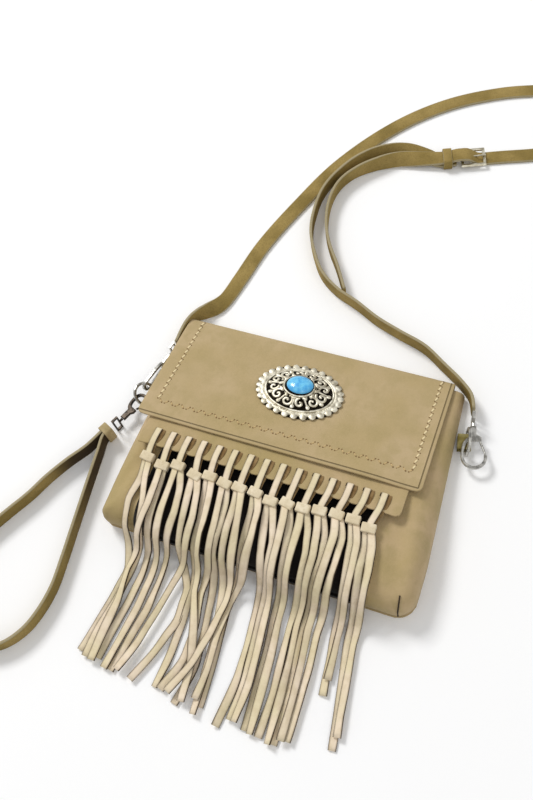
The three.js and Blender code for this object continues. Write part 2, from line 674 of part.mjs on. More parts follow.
// Buckle: the frame lies along the strap, heel bar at the local origin and front bar at +X
const BUCKLE_PLACE = [53.4, 328.7, 4.5];
const BUCKLE_ALONG = [0.943, 0.333];
const BUCKLE = { reach: 20, inside: 15.6, bar: 2.4, prong: 1.8, keeper: -13.5 };
const buckle = new THREE.Group();
buckle.position.set(...BUCKLE_PLACE);
buckle.rotation.z = Math.atan2(BUCKLE_ALONG[1], BUCKLE_ALONG[0]);
group.add(buckle);

function buckleFrame() {
  const half = BUCKLE.bar / 2;
  const [x1, y1] = [BUCKLE.reach + half, BUCKLE.inside / 2 + BUCKLE.bar];
  const frame = outline([[-half, -y1], [x1, -y1], [x1, y1], [-half, y1]]);
  const [x2, y2] = [BUCKLE.reach - half, BUCKLE.inside / 2];
  frame.holes.push(outline([[half, -y2], [half, y2], [x2, y2], [x2, -y2]]));
  return plate(frame, -half, half, 0.4);
}

// The prong: a ring round the heel bar and a finger that rests on the front bar.
function buckleProng() {
  const ring = new THREE.Shape();
  ring.absarc(0, 0, 3, 0, 2 * Math.PI, false);
  const hole = new THREE.Path();
  hole.absarc(0, 0, 1.8, 0, 2 * Math.PI, true);
  ring.holes.push(hole);
  const loop = plate(ring, -BUCKLE.prong / 2, BUCKLE.prong / 2).rotateX(Math.PI / 2);
  const finger = rod([2.3, 0, 0.8], [BUCKLE.reach + 1.4, 0, BUCKLE.bar / 2 + GAP + 1], BUCKLE.prong / 2, 8);
  return join(loop, finger);
}

// The skived end of the short strap, folded round the heel bar and slotted for the prong
function heelFold() {
  const fold = 2.8;
  const shape = new THREE.Shape();
  shape.moveTo(-6, -fold);
  shape.lineTo(0, -fold);
  shape.absarc(0, 0, fold, -Math.PI / 2, Math.PI / 2, false);
  shape.lineTo(-6, fold);
  shape.closePath();
  const half = STRAP_WIDTH / 2;
  const block = solid(plate(shape, -half, half).rotateX(Math.PI / 2));
  const bar = solid(box(-1.6, 1.6, -20, 20, -1.6, 1.6));
  const slot = solid(box(-3.4, 6, -1.6, 1.6, -6, 6));
  return block.subtract(bar).subtract(slot);
}

add("buckle_frame", buckleFrame(), metal(0xd8cfae), buckle);
add("buckle_prong", buckleProng(), metal(0xd8cfae), buckle);

function keeper() {
  const [half, wall, high] = [STRAP_WIDTH / 2 + 1, 1.2, 9.8];
  const [low, wide, top] = [wall, half + wall, high + wall];
  const ring = outline([[-wide, 0], [wide, 0], [wide, top], [-wide, top]]);
  ring.holes.push(outline([[-half, low], [-half, high], [half, high], [half, low]]));
  return plate(ring, -4, 4).rotateX(Math.PI / 2).rotateZ(Math.PI / 2);
}
const keeperMesh = add("strap_keeper", keeper(), leather(TAN), buckle);
keeperMesh.position.set(BUCKLE.keeper, 0, -BUCKLE_PLACE[2]);

const strapLeather = leather(0x968764);
const fold = strapFold(STRAP_WIDTH - 0.4);
const slotInTail = solid(box(2.2, BUCKLE.reach - 1, -1.5, 1.5, -6, 12));
const longStrap = solid(ribbon(LONG_ROUTE, STRAP_WIDTH, STRAP_LEATHER, 78));
const shortStrap = solid(ribbon(SHORT_ROUTE, STRAP_WIDTH, STRAP_LEATHER, 46));
const wristStrap = solid(ribbon(WRIST_ROUTE, STRAP_WIDTH, STRAP_LEATHER, 44));
add(
  "shoulder_strap_long",
  longStrap.subtract(placed(slotInTail, buckle)).add(placed(fold, stands.left_hook)),
  strapLeather,
);
add(
  "shoulder_strap_short",
  shortStrap.add(placed(fold, stands.right_hook)).add(placed(heelFold(), buckle)),
  strapLeather,
);
add("wrist_strap", wristStrap.add(placed(fold, stands.wrist_clasp)), strapLeather);

// The leather wrap that binds both ends of the wrist strap below the clasp
const wrapPlace = stand([-152.7, -26.4, 9.2], [0.42, 0.908]);
const WRAP = { across: 4.4, high: STRAP_WIDTH / 2 + 0.4, wall: 1.2, long: 7 };
const frameOf = (x, y) => [[-x, -y], [x, -y], [x, y], [-x, y]];
const wrapRing = outline(frameOf(WRAP.across + WRAP.wall, WRAP.high + WRAP.wall));
wrapRing.holes.push(outline(frameOf(WRAP.across, WRAP.high).reverse()));
const wrapBand = plate(wrapRing, -WRAP.long / 2, WRAP.long / 2).rotateX(Math.PI / 2);
add("wrist_wrap", wrapBand, strapLeather, wrapPlace);

export default group;
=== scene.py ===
# %% [markdown]
# A small suede bag lies on its back on a table. The flap carries an oval silver-coloured ornament
# and a row of knotted laces, a long strap lies in curves above it, and a wrist strap beside it.
# The frame gives every rigid piece at its real size, in metres. This script makes the soft pieces
# around it, gives each surface its finish, and sets up the camera and the light.

import math

import bmesh
import bpy
from mathutils import Matrix, Vector, noise


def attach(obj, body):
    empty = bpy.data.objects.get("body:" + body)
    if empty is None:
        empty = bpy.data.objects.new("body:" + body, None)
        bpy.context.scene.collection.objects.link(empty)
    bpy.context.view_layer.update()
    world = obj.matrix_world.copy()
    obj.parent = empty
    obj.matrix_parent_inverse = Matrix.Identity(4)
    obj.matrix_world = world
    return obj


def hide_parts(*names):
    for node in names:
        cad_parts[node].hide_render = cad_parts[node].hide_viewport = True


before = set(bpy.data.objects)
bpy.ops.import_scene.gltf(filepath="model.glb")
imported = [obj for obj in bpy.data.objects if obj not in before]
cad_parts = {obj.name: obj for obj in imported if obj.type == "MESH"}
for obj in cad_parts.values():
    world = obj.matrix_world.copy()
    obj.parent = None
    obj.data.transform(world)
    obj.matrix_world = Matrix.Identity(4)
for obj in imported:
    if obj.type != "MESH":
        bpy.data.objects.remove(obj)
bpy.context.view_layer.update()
MM = 0.001
BODY = "bag"
scene = bpy.context.scene
print("nodes in the frame:", len(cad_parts))

# %% [markdown]
# The camera stands above the lower right corner of the bag and looks down at about 62 degrees,
# turned a little on its own axis. Its place was solved from the corners of the flap and from the
# widths of the straps. The picture is taken as 533 by 800 pixels.

# %% Camera
CAMERA_PLACE = Vector((0.147298, -0.228205, 0.627782))
CAMERA_RIGHT = Vector((0.93191, 0.33898, -0.12896))
CAMERA_UP = Vector((-0.25099, 0.85944, 0.44538))
FOCAL_PIXELS = 850
PICTURE_HEIGHT = 800
SENSOR = 36

camera_data = bpy.data.cameras.new("camera")
camera_data.sensor_fit = "VERTICAL"
camera_data.sensor_height = SENSOR
camera_data.lens = FOCAL_PIXELS * SENSOR / PICTURE_HEIGHT
camera = bpy.data.objects.new("camera", camera_data)
scene.collection.objects.link(camera)
axes = Matrix((CAMERA_RIGHT, CAMERA_UP, CAMERA_RIGHT.cross(CAMERA_UP))).transposed()
camera.matrix_world = Matrix.Translation(CAMERA_PLACE) @ axes.to_4x4()
scene.camera = camera
print("lens", round(camera_data.lens, 2), "mm")

# %% [markdown]
# Every strap and lace is one flat strip that follows a route. A route is a given list of
# points, each with a turn: at 0 the strip lies flat, at 90 it stands on edge. Bezier pieces
# between the points give a smooth line. The strip itself starts as a ring of corners that is
# extruded from step to step, and each step turns the new ring to its own place on the route.

# %% Helpers for strips
def smooth_route(points, step):
    """Places along a smooth line through points, as (place, tangent, turn), a step apart."""
    places = [Vector(p[:3]) * MM for p in points]
    turns = [p[3] if len(p) > 3 else 0 for p in points]
    tangents = []
    for i in range(len(places)):
        ahead = places[min(i + 1, len(places) - 1)] - places[i]
        behind = places[i] - places[max(i - 1, 0)]
        tangents.append((ahead.normalized() + behind.normalized()).normalized())
    line = []
    for i in range(len(places) - 1):
        a, b = places[i], places[i + 1]
        reach = (b - a).length / 3
        c, d = a + tangents[i] * reach, b - tangents[i + 1] * reach
        count = max(2, round((b - a).length / (step * MM)))
        for k in range(count + (i == len(places) - 2)):
            t = k / count
            s = 1 - t
            place = a * s**3 + c * 3 * s * s * t + d * 3 * s * t * t + b * t**3
            slope = (c - a) * s * s + (d - c) * 2 * s * t + (b - d) * t * t
            turn = turns[i] * s + turns[i + 1] * t
            line.append((place, slope.normalized(), math.radians(turn)))
    return line


def ring_matrix(place, tangent, turn):
    """The section's own axes: X across the strip, Y through its thickness, Z along it."""
    side = Vector((tangent.y, -tangent.x, 0)).normalized()
    side = Matrix.Rotation(turn, 3, tangent) @ side
    up = tangent.cross(side)
    return Matrix.Translation(place) @ Matrix((side, up, tangent)).transposed().to_4x4()


def strip_section(width, thickness, rounding):
    """The corners of a flat section with softened edges, in metres."""
    w, t, r = width * MM / 2, thickness * MM / 2, rounding * MM
    corners = []
    for cx, cy, start in ((w - r, t - r, 0), (r - w, t - r, 90), (r - w, r - t, 180), (w - r, r - t, 270)):
        for extra in (0, 45, 90):
            angle = math.radians(start + extra)
            corners.append((cx + r * math.cos(angle), cy + r * math.sin(angle)))
    return corners


def sweep_frames(mesh, frames, section, closed=False):
    """Extrudes a section from frame to frame. UV runs across from 0 to 1 and along in metres."""
    uv = mesh.loops.layers.uv.get("strip") or mesh.loops.layers.uv.new("strip")
    ring = [mesh.verts.new(frames[0] @ Vector((x, y, 0))) for x, y in section]
    first = [mesh.edges.new((ring[i], ring[(i + 1) % len(ring)])) for i in range(len(ring))]
    if not closed:
        mesh.faces.new(list(reversed(ring)))
    edges = first
    width = 2 * max(x for x, _ in section)
    walked = 0
    for i in range(1, len(frames)):
        out = bmesh.ops.extrude_edge_only(mesh, edges=edges)["geom"]
        moved = [g for g in out if isinstance(g, bmesh.types.BMVert)]
        here = frames[i - 1].inverted()
        across = {vert: (here @ vert.co).x / width + 0.5 for vert in moved}
        bmesh.ops.transform(mesh, matrix=frames[i] @ here, verts=moved)
        ahead = walked + (frames[i].translation - frames[i - 1].translation).length
        for face in (g for g in out if isinstance(g, bmesh.types.BMFace)):
            for loop in face.loops:
                if loop.vert in across:
                    loop[uv].uv = (across[loop.vert], ahead)
                else:
                    loop[uv].uv = ((here @ loop.vert.co).x / width + 0.5, walked)
        new = set(moved)
        edges = [g for g in out if isinstance(g, bmesh.types.BMEdge) and set(g.verts) <= new]
        walked = ahead
    if closed:
        bmesh.ops.bridge_loops(mesh, edges=edges + first)
    else:
        bmesh.ops.holes_fill(mesh, edges=edges)


def sweep(mesh, line, section):
    """Extrudes a section along a smooth route."""
    sweep_frames(mesh, [ring_matrix(*stop) for stop in line], section)


def band(mesh, path, place, section, closed=False):
    """A band that follows a flat path of (x, y) in place's own plane, its width along place's Z."""
    frames = []
    count = len(path)
    for i, (x, y) in enumerate(path):
        after = path[(i + 1) % count] if closed or i + 1 < count else path[i]
        before = path[i - 1] if closed or i > 0 else path[i]
        tangent = Vector((after[0] - before[0], after[1] - before[1], 0)).normalized()
        width = Vector((0, 0, 1))
        turned = Matrix((width, tangent.cross(width), tangent)).transposed().to_4x4()
        frames.append(place @ Matrix.Translation(Vector((x, y, 0)) * MM) @ turned)
    sweep_frames(mesh, frames, section, closed)


def axes_at(place, x_axis, y_axis):
    """A matrix at a place in millimetres with the given X and Y axes."""
    x_axis, y_axis = Vector(x_axis).normalized(), Vector(y_axis).normalized()
    turned = Matrix((x_axis, y_axis, x_axis.cross(y_axis))).transposed().to_4x4()
    return Matrix.Translation(Vector(place) * MM) @ turned


def finished(name, mesh, material, smooth=True):
    """Turns a bmesh into an object with a material that rides on the bag."""
    bmesh.ops.recalc_face_normals(mesh, faces=mesh.faces)
    data = bpy.data.meshes.new(name)
    mesh.to_mesh(data)
    mesh.free()
    if smooth:
        data.shade_smooth()
    data.materials.append(material)
    piece = bpy.data.objects.new(name, data)
    scene.collection.objects.link(piece)
    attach(piece, BODY)
    return piece


def length_of(line):
    return sum((line[i][0] - line[i - 1][0]).length for i in range(1, len(line)))

# %% [markdown]
# Nubuck is mottled: it goes from a pinkish tan to a dull olive over a few centimetres, and its
# nap gives a very fine grain. The laces are a paler suede. The cut edges of the strap are
# greyish where they catch the light. Each finish is written as sums of noise, so no picture is
# used, and all of them measure in the object's own metres.

# %% Sockets that can be added and multiplied
class Value:
    """One output socket. Sums and products of it are made of Math nodes."""

    def __init__(self, tree, socket):
        self.tree = tree
        self.socket = socket

    def math(self, operation, *others):
        node = self.tree.nodes.new("ShaderNodeMath")
        node.operation = operation
        for place, item in enumerate((self, *others)):
            if isinstance(item, Value):
                self.tree.links.new(item.socket, node.inputs[place])
            else:
                node.inputs[place].default_value = item
        return Value(self.tree, node.outputs[0])

    def __add__(self, other):
        return self.math("ADD", other)

    def __mul__(self, other):
        return self.math("MULTIPLY", other)

    def __sub__(self, other):
        return self.math("SUBTRACT", other)

    def __rsub__(self, other):
        return self * -1 + other

    __radd__ = __add__
    __rmul__ = __mul__

    def above(self, low, high):
        """A soft step: 0 under low, 1 over high."""
        node = self.tree.nodes.new("ShaderNodeMapRange")
        node.interpolation_type = "SMOOTHSTEP"
        node.inputs["From Min"].default_value = low
        node.inputs["From Max"].default_value = high
        self.tree.links.new(self.socket, node.inputs["Value"])
        return Value(self.tree, node.outputs["Result"])


def colour_of(red, green, blue):
    """A colour written as it shows on screen, turned into the linear values of a shader."""
    shades = [c / 255 for c in (red, green, blue)]
    return [s / 12.92 if s <= 0.04045 else ((s + 0.055) / 1.055) ** 2.4 for s in shades] + [1]


class Finish:
    """A material with one Principled shader, and methods that add its nodes."""

    def __init__(self, name, rough, metallic=0.0):
        self.material = bpy.data.materials.new(name)
        self.material.use_nodes = True
        self.tree = self.material.node_tree
        self.shader = self.tree.nodes["Principled BSDF"]
        self.shader.inputs["Roughness"].default_value = rough
        self.shader.inputs["Metallic"].default_value = metallic
        self.places = self.tree.nodes.new("ShaderNodeTexCoord")

    def node(self, kind, outlet=0, **inputs):
        made = self.tree.nodes.new(kind)
        for key, value in inputs.items():
            name = key.replace("_", " ").title()
            if isinstance(value, Value):
                self.tree.links.new(value.socket, made.inputs[name])
            else:
                made.inputs[name].default_value = value
        return Value(self.tree, made.outputs[outlet])

    def noise(self, size, detail=2.0, stretch=None):
        """Noise from 0 to 1 with blotches of about size metres."""
        where = Value(self.tree, self.places.outputs["Object"])
        if stretch:
            scaled = self.tree.nodes.new("ShaderNodeMapping")
            scaled.inputs["Scale"].default_value = stretch
            self.tree.links.new(where.socket, scaled.inputs["Vector"])
            where = Value(self.tree, scaled.outputs["Vector"])
        return self.node("ShaderNodeTexNoise", vector=where, scale=1 / size, detail=detail)

    def mix(self, amount, first, second):
        """A colour between first and second. Both may be colours or Values."""
        made = self.tree.nodes.new("ShaderNodeMix")
        made.data_type = "RGBA"
        self.tree.links.new(amount.socket, made.inputs["Factor"])
        for name, item in (("A", first), ("B", second)):
            socket = next(s for s in made.inputs if s.name == name and s.type == "RGBA")
            if isinstance(item, Value):
                self.tree.links.new(item.socket, socket)
            else:
                socket.default_value = item
        return Value(self.tree, next(s for s in made.outputs if s.type == "RGBA"))

    def coloured(self, colour):
        if isinstance(colour, Value):
            self.tree.links.new(colour.socket, self.shader.inputs["Base Color"])
        else:
            self.shader.inputs["Base Color"].default_value = colour

    def rough(self, value):
        self.tree.links.new(value.socket, self.shader.inputs["Roughness"])

    def bumped(self, height, depth):
        """A Bump with depth in metres per unit of height."""
        made = self.tree.nodes.new("ShaderNodeBump")
        made.inputs["Distance"].default_value = depth
        made.inputs["Strength"].default_value = 1.0
        self.tree.links.new(height.socket, made.inputs["Height"])
        self.tree.links.new(made.outputs["Normal"], self.shader.inputs["Normal"])

    def object_axis(self, axis):
        split = self.tree.nodes.new("ShaderNodeSeparateXYZ")
        self.tree.links.new(self.places.outputs["Object"], split.inputs[0])
        return Value(self.tree, split.outputs[axis])

    def pressed_line(self):
        """1 on the line that is pressed into the flap near its lower and right edges, else 0."""
        x, y = self.object_axis(0), self.object_axis(1)
        low = (y + 0.0081).math("ABSOLUTE").above(0.00022, 0.0006)
        right = (x - 0.1042).math("ABSOLUTE").above(0.00022, 0.0006)
        over = (y + 0.0081).above(-0.0002, 0.0002)
        left_of = (x - 0.1042).above(-0.0002, 0.0002)
        return (1 - low) * (1 - left_of) + (1 - right) * over

    def uv(self, layer, axis):
        made = self.tree.nodes.new("ShaderNodeUVMap")
        made.uv_map = layer
        split = self.tree.nodes.new("ShaderNodeSeparateXYZ")
        self.tree.links.new(made.outputs["UV"], split.inputs[0])
        return Value(self.tree, split.outputs[axis])


# %% Nubuck and suede
def suede(name, light, main, dark, blotch, rough=0.95, side=None, groove=False):
    """A napped leather: soft blotches, a fine grain and a faint sheen. A side colour paints shade on the cut
    edges and the outer part of the face.
    """
    made = Finish(name, rough)
    broad = made.noise(blotch, 3.0).above(0.38, 0.62)
    small = made.noise(blotch / 4, 3.0).above(0.35, 0.7)
    grain = made.noise(0.0009, 3.0)
    colour = made.mix(broad, main, light)
    colour = made.mix(small * 0.5, colour, dark)
    colour = made.mix(grain.above(0.45, 0.8) * 0.35, colour, light)
    relief = grain + made.noise(0.004, 2.0) * 2.0
    # Painted shade: the side colour darkens the outer part of the face and covers the cut edges, for the shade
    # between neighbouring strips.
    if side:
        across = (made.uv("strip", 0) - 0.5).math("ABSOLUTE")
        colour = made.mix(across.above(0.26, 0.43) * 0.42, colour, side)
        colour = made.mix(across.above(0.44, 0.46), colour, side)
    # Painted shade: the pressed groove is coloured darker as well as bumped, for the shade inside it.
    if groove:
        line = made.pressed_line()
        colour = made.mix(line * 0.75, colour, colour_of(104, 86, 50))
        relief = relief - line * 6
    made.coloured(colour)
    made.bumped(relief, 0.00018)
    made.shader.inputs["Sheen Weight"].default_value = 0.12
    made.shader.inputs["Specular IOR Level"].default_value = 0.15
    return made.material


flap_nubuck = suede(
    "flap nubuck", colour_of(188, 166, 128), colour_of(178, 157, 114), colour_of(164, 146, 100), 0.045,
    groove=True,
)
tan_nubuck = suede(
    "tan nubuck", colour_of(190, 166, 128), colour_of(173, 153, 106), colour_of(157, 141, 92), 0.05
)
# The laces' dark side colour is painted shade between them.
cream_lace = suede(
    "cream lace", colour_of(240, 222, 198), colour_of(226, 212, 176), colour_of(206, 188, 150), 0.03,
    side=colour_of(60, 43, 25),
)
lace_shade = suede(
    "lace wrap", colour_of(236, 222, 194), colour_of(220, 204, 172), colour_of(196, 178, 142), 0.012
)
# Painted shade: the returning part of each lace is the lace's leather, coloured brown for the shade under its
# loop.
fold_painted_shade = suede(
    "lace fold painted shade", colour_of(158, 130, 88), colour_of(128, 100, 62), colour_of(96, 72, 42), 0.01
)
olive_leather = suede(
    "olive leather", colour_of(150, 140, 92), colour_of(112, 98, 44), colour_of(84, 72, 26), 0.006
)
olive_light = suede(
    "wrap leather", colour_of(186, 168, 128), colour_of(168, 150, 108), colour_of(146, 128, 88), 0.01
)
# Painted shade: a near-black finish for the sheet that stands in for the deep shade under the fringe.
under_fringe_shade_finish = suede(
    "under fringe painted shade", colour_of(22, 17, 13), colour_of(14, 10, 8), colour_of(8, 6, 5), 0.01
)
lining_cloth = suede(
    "lining cloth", colour_of(120, 102, 78), colour_of(104, 88, 66), colour_of(88, 74, 54), 0.02
)


def strap_finish(name="strap leather", painted_shade_ends=None):
    """Strap leather: olive tan faces and greyish cut edges. Its ends can be painted dark brown as shade."""
    made = Finish(name, 0.85)
    broad = made.noise(0.03, 3.0).above(0.35, 0.65)
    fibre = made.noise(0.0012, 3.0)
    face = made.mix(broad, colour_of(134, 114, 60), colour_of(160, 137, 80))
    face = made.mix(fibre.above(0.4, 0.75) * 0.4, face, colour_of(102, 86, 46))
    # Painted shade: both ends of the strip, near the clasp, are coloured dark brown.
    if painted_shade_ends:
        way = made.uv("strip", 1)
        ends = 1 - way.above(painted_shade_ends[0] * 0.5, painted_shade_ends[0]) * (1 - way.above(*painted_shade_ends[1:]))
        face = made.mix(ends * 0.9, face, colour_of(46, 32, 20))
    edge = made.mix(fibre, colour_of(142, 130, 98), colour_of(178, 166, 134))
    across = (made.uv("strip", 0) - 0.5).math("ABSOLUTE")
    made.coloured(made.mix(across.above(0.455, 0.475), face, edge))
    made.bumped(fibre + made.noise(0.005, 2.0) * 1.5, 0.00015)
    made.shader.inputs["Specular IOR Level"].default_value = 0.25
    return made.material


strap_leather = strap_finish()
wrist_leather = strap_finish("wrist strap leather", (0.07, 0.34, 0.43))


def metal_finish(name, light, dark, rough, blotch=0.004):
    """Worn metal: brightness and gloss vary a little, as on a cast and handled fitting."""
    made = Finish(name, rough, 1.0)
    wear = made.noise(blotch, 3.0).above(0.3, 0.7)
    fine = made.noise(0.0007, 2.0)
    made.coloured(made.mix(wear, dark, light))
    made.rough(wear * 0.12 + (rough - 0.05))
    made.bumped(fine + wear, 0.00004)
    return made.material


silver_metal = metal_finish("silver metal", colour_of(214, 212, 206), colour_of(158, 156, 150), 0.3)
dark_metal = metal_finish("dark metal", colour_of(76, 68, 60), colour_of(30, 27, 24), 0.32)
pale_metal = metal_finish("pale metal", colour_of(232, 226, 206), colour_of(190, 182, 158), 0.34)


ornament_metal = metal_finish(
    "ornament metal", colour_of(248, 243, 226), colour_of(190, 182, 160), 0.5, 0.004
)
# Painted shade: a near-black finish for the ornament's sunk field and the gaps under its lobes.
ornament_shade_finish = metal_finish("ornament painted shade", colour_of(46, 40, 32), colour_of(18, 15, 12), 0.6, 0.003)


def stone_finish():
    made = Finish("turquoise", 0.25)
    cloud = made.noise(0.006, 4.0)
    vein = (made.noise(0.004, 4.0) - 0.5).math("ABSOLUTE").above(0.0, 0.02)
    blue = made.mix(cloud.above(0.35, 0.65), colour_of(70, 170, 232), colour_of(116, 206, 246))
    made.coloured(made.mix(vein * 0.35 + 0.65, colour_of(36, 104, 140), blue))
    made.shader.inputs["Coat Weight"].default_value = 0.5
    made.shader.inputs["Coat Roughness"].default_value = 0.08
    made.bumped(cloud, 0.0001)
    return made.material


turquoise = stone_finish()


def thread_finish(name, dark, light):
    made = Finish(name, 0.8)
    made.coloured(made.mix(made.noise(0.0006, 2.0), dark, light))
    made.bumped(made.noise(0.0003, 1.0), 0.00008)
    return made.material


thread = thread_finish("thread", colour_of(214, 192, 142), colour_of(240, 224, 184))
tan_thread = thread_finish("tan thread", colour_of(186, 158, 108), colour_of(206, 180, 130))


def hole_finish(name, dark, light):
    made = Finish(name, 0.95)
    made.coloured(made.mix(made.noise(0.001, 2.0), dark, light))
    return made.material


dark_hole = hole_finish("dark hole", colour_of(40, 30, 20), colour_of(66, 52, 34))
# Painted shade: the stitch pits are brown for the shade inside the holes.
stitch_pit_shade = hole_finish("stitch pit painted shade", colour_of(112, 86, 54), colour_of(138, 108, 70))


def table_finish():
    made = Finish("table", 0.9)
    made.coloured(made.mix(made.noise(0.2, 2.0), colour_of(252, 252, 252), colour_of(254, 254, 254)))
    return made.material


table_paint = table_finish()
print("materials:", len(bpy.data.materials))

# %% [markdown]
# The shoulder strap is two pieces. The long one leaves the left hook, runs flat along the table,
# turns round outside the picture, comes back under the buckle's front bar and over its heel bar,
# and its spare end stands on edge beside the short one. The short piece stands on edge from the
# right hook to the buckle. The wrist strap is one strip with both ends in the dark clasp.

# %% Strap routes
STRAP_WIDTH = 14
STRAP_THICKNESS = 2.6
LONG_ROUTE = [
    (-128.1, 67.2, 9.2, 90), (-128.2, 80, 9, 90), (-127.4, 90, 8.6, 90), (-123.6, 99.5, 8.2, 85),
    (-116.5, 107.5, 7.2, 60), (-110.5, 116, 4.4, 25), (-106.6, 127, 1.7, 0), (-102, 149, 1.5, 0),
    (-94.5, 189, 1.5, 0), (-77, 243, 1.5, 0), (-55, 297, 1.5, 0),
    (-14, 358, 1.5, 0), (25, 394, 1.5, 0), (68, 418, 1.5, 0), (97, 428, 1.5, 0), (125, 434, 1.5, 0),
    (151, 430, 1.5, 0), (165, 410, 1.5, 0), (163, 385, 1.5, 0), (146, 363, 1.5, 0), (115, 350, 1.5, 0),
    (90, 341.6, 1.5, 0), (80, 338.1, 1.5, 0), (73, 335.6, 1.4, 0), (68.4, 334, 1.7, 0), (63, 332.1, 5.4, 0),
    (58.2, 330.4, 9, 0), (53.4, 328.7, 9.4, 0), (48.7, 327, 9.3, 0), (44.9, 325.7, 8.2, 0), (37.4, 323, 7, 0),
    (19, 318.5, 6, -15), (-2, 312.5, 6.6, -45), (-20, 302, 7.4, -75), (-37, 287, 7.4, -90),
    (-46.5, 270, 7.4, -90), (-49, 252, 7.4, -90), (-47, 234, 7.4, -90), (-42, 217, 7.4, -90),
    (-33, 199, 7.4, -90), (-20, 180, 7.4, -90), (-5.9, 156.9, 7.4, -90),
]
SHORT_ROUTE = [
    (126.1, 75.5, 9.2, 90), (121.4, 87, 8.8, 90), (113.5, 95.2, 8, 90), (93, 109.5, 7.4, 90),
    (75, 121, 7.4, 90), (51, 129, 7.4, 90), (30, 136.5, 7.4, 90), (8, 147.5, 7.4, 90), (-13, 156.5, 7.4, 90),
    (-30, 169, 7.4, 90), (-43, 187, 7.4, 90), (-54, 209, 7.4, 90), (-58.5, 231, 7.4, 90),
    (-58.5, 259, 7.4, 90), (-50, 284, 7.4, 90), (-34, 306.5, 7.4, 80), (-16, 319, 7, 62), (2, 325.5, 5.4, 38),
    (20, 325, 3.9, 15), (35.2, 322.4, 2.9, 0), (48.4, 327, 3.2, 0),
]
WRIST_ROUTE = [
    (-152.6, -22.6, 9.2, 90), (-155.6, -29, 9, 90), (-163, -44, 8, 90), (-174, -60, 7.4, 90),
    (-184, -78, 7.4, 90), (-192, -96, 7.4, 90), (-202, -114, 7.4, 90), (-212, -133, 7.4, 90),
    (-221, -153, 7.4, 90), (-226, -175, 7.4, 90), (-222, -196, 7.4, 90), (-209, -212, 7.4, 90),
    (-190, -219, 7.4, 90), (-170, -217, 7.4, 90), (-156, -208, 7.4, 90), (-146, -194, 7.4, 90),
    (-141, -178, 7.4, 90), (-139, -158, 7.4, 90), (-141, -136, 7.4, 90), (-144, -112, 7.4, 90),
    (-147, -88, 7.4, 90), (-149.5, -66, 7.8, 90), (-151.4, -46, 8.6, 90), (-152.7, -30.2, 9, 90),
    (-149.9, -23.6, 9.2, 90),
]


# %% Straps
def make_strap(name, route, finish):
    line = smooth_route(route, 2.5)
    mesh = bmesh.new()
    sweep(mesh, line, strip_section(STRAP_WIDTH, STRAP_THICKNESS, 0.7))
    strap = finished(name, mesh, finish)
    long = length_of(line)
    print(name, "is", round(long * 1000), "mm long")
    return strap


long_strap = make_strap("long_strap", LONG_ROUTE, strap_leather)
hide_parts("shoulder_strap_long")
short_strap = make_strap("short_strap", SHORT_ROUTE, strap_leather)
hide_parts("shoulder_strap_short")
wrist_loop = make_strap("wrist_loop", WRIST_ROUTE, wrist_leather)
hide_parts("wrist_strap")

# %% [markdown]
# The table is a large pale sheet, and the light is soft and mostly from the upper left, as the
# shadows of the laces show. The white beyond the table comes from the colour that the camera
# sees, not from more light.

# %% Table and light
def make_floor():
    mesh = bmesh.new()
    bmesh.ops.create_grid(mesh, x_segments=1, y_segments=1, size=3)
    data = bpy.data.meshes.new("table")
    mesh.to_mesh(data)
    mesh.free()
    table = bpy.data.objects.new("table", data)
    scene.collection.objects.link(table)
    data.materials.append(table_paint)
    return table


def make_lamp(name, place, size, power, aim=(0, 0.05, 0)):
    data = bpy.data.lights.new(name, "AREA")
    data.size = size
    data.energy = power
    lamp = bpy.data.objects.new(name, data)
    lamp.location = place
    way = Vector(aim) - Vector(place)
    lamp.rotation_euler = way.to_track_quat("-Z", "Y").to_euler()
    scene.collection.objects.link(lamp)


world = bpy.data.worlds.new("room")
scene.world = world
world.use_nodes = True
WORLD_LEVEL = 0.5
world_nodes = world.node_tree.nodes
world_links = world.node_tree.links
room_light = world_nodes["Background"]
room_light.inputs["Color"].default_value = (1, 1, 1, 1)
room_light.inputs["Strength"].default_value = WORLD_LEVEL
seen_white = world_nodes.new("ShaderNodeBackground")
seen_white.inputs["Color"].default_value = (1, 1, 1, 1)
seen_white.inputs["Strength"].default_value = 1
choice = world_nodes.new("ShaderNodeMixShader")
rays = world_nodes.new("ShaderNodeLightPath")
world_links.new(rays.outputs["Is Camera Ray"], choice.inputs["Fac"])
world_links.new(room_light.outputs[0], choice.inputs[1])
world_links.new(seen_white.outputs[0], choice.inputs[2])
world_links.new(choice.outputs[0], world_nodes["World Output"].inputs["Surface"])
make_floor()
make_lamp("key", (-2.3, 1.4, 2.8), 1.1, 88)
make_lamp("fill", (1.2, -1.0, 2.4), 2.2, 13)
scene.view_settings.view_transform = "Standard"
print("table and lamps are in place")

# %% [markdown]
# The metal pieces come from the frame as they are and only get their finish. Every soft piece
# is made new below, because hard flat solids can't show how suede sags and folds.

# %% Metal pieces
METAL_NODES = {
    "silver_metal": (
        "snap_stud", "snap_socket", "d_ring_right", "d_ring_left", "concho_screw",
        "right_hook_frame", "right_hook_gate", "right_hook_swivel",
        "left_hook_frame", "left_hook_gate", "left_hook_swivel",
    ),
    "dark_metal": ("wrist_clasp_frame", "wrist_clasp_gate", "wrist_clasp_swivel"),
    "pale_metal": ("buckle_frame", "buckle_prong"),
}
METALS = {"silver_metal": silver_metal, "dark_metal": dark_metal, "pale_metal": pale_metal}
for slot_name, nodes in METAL_NODES.items():
    for node in nodes:
        piece = bpy.data.objects[node]
        piece.data.materials.clear()
        piece.data.materials.append(METALS[slot_name])
print("metal nodes with a finish:", sum(len(nodes) for nodes in METAL_NODES.values()))

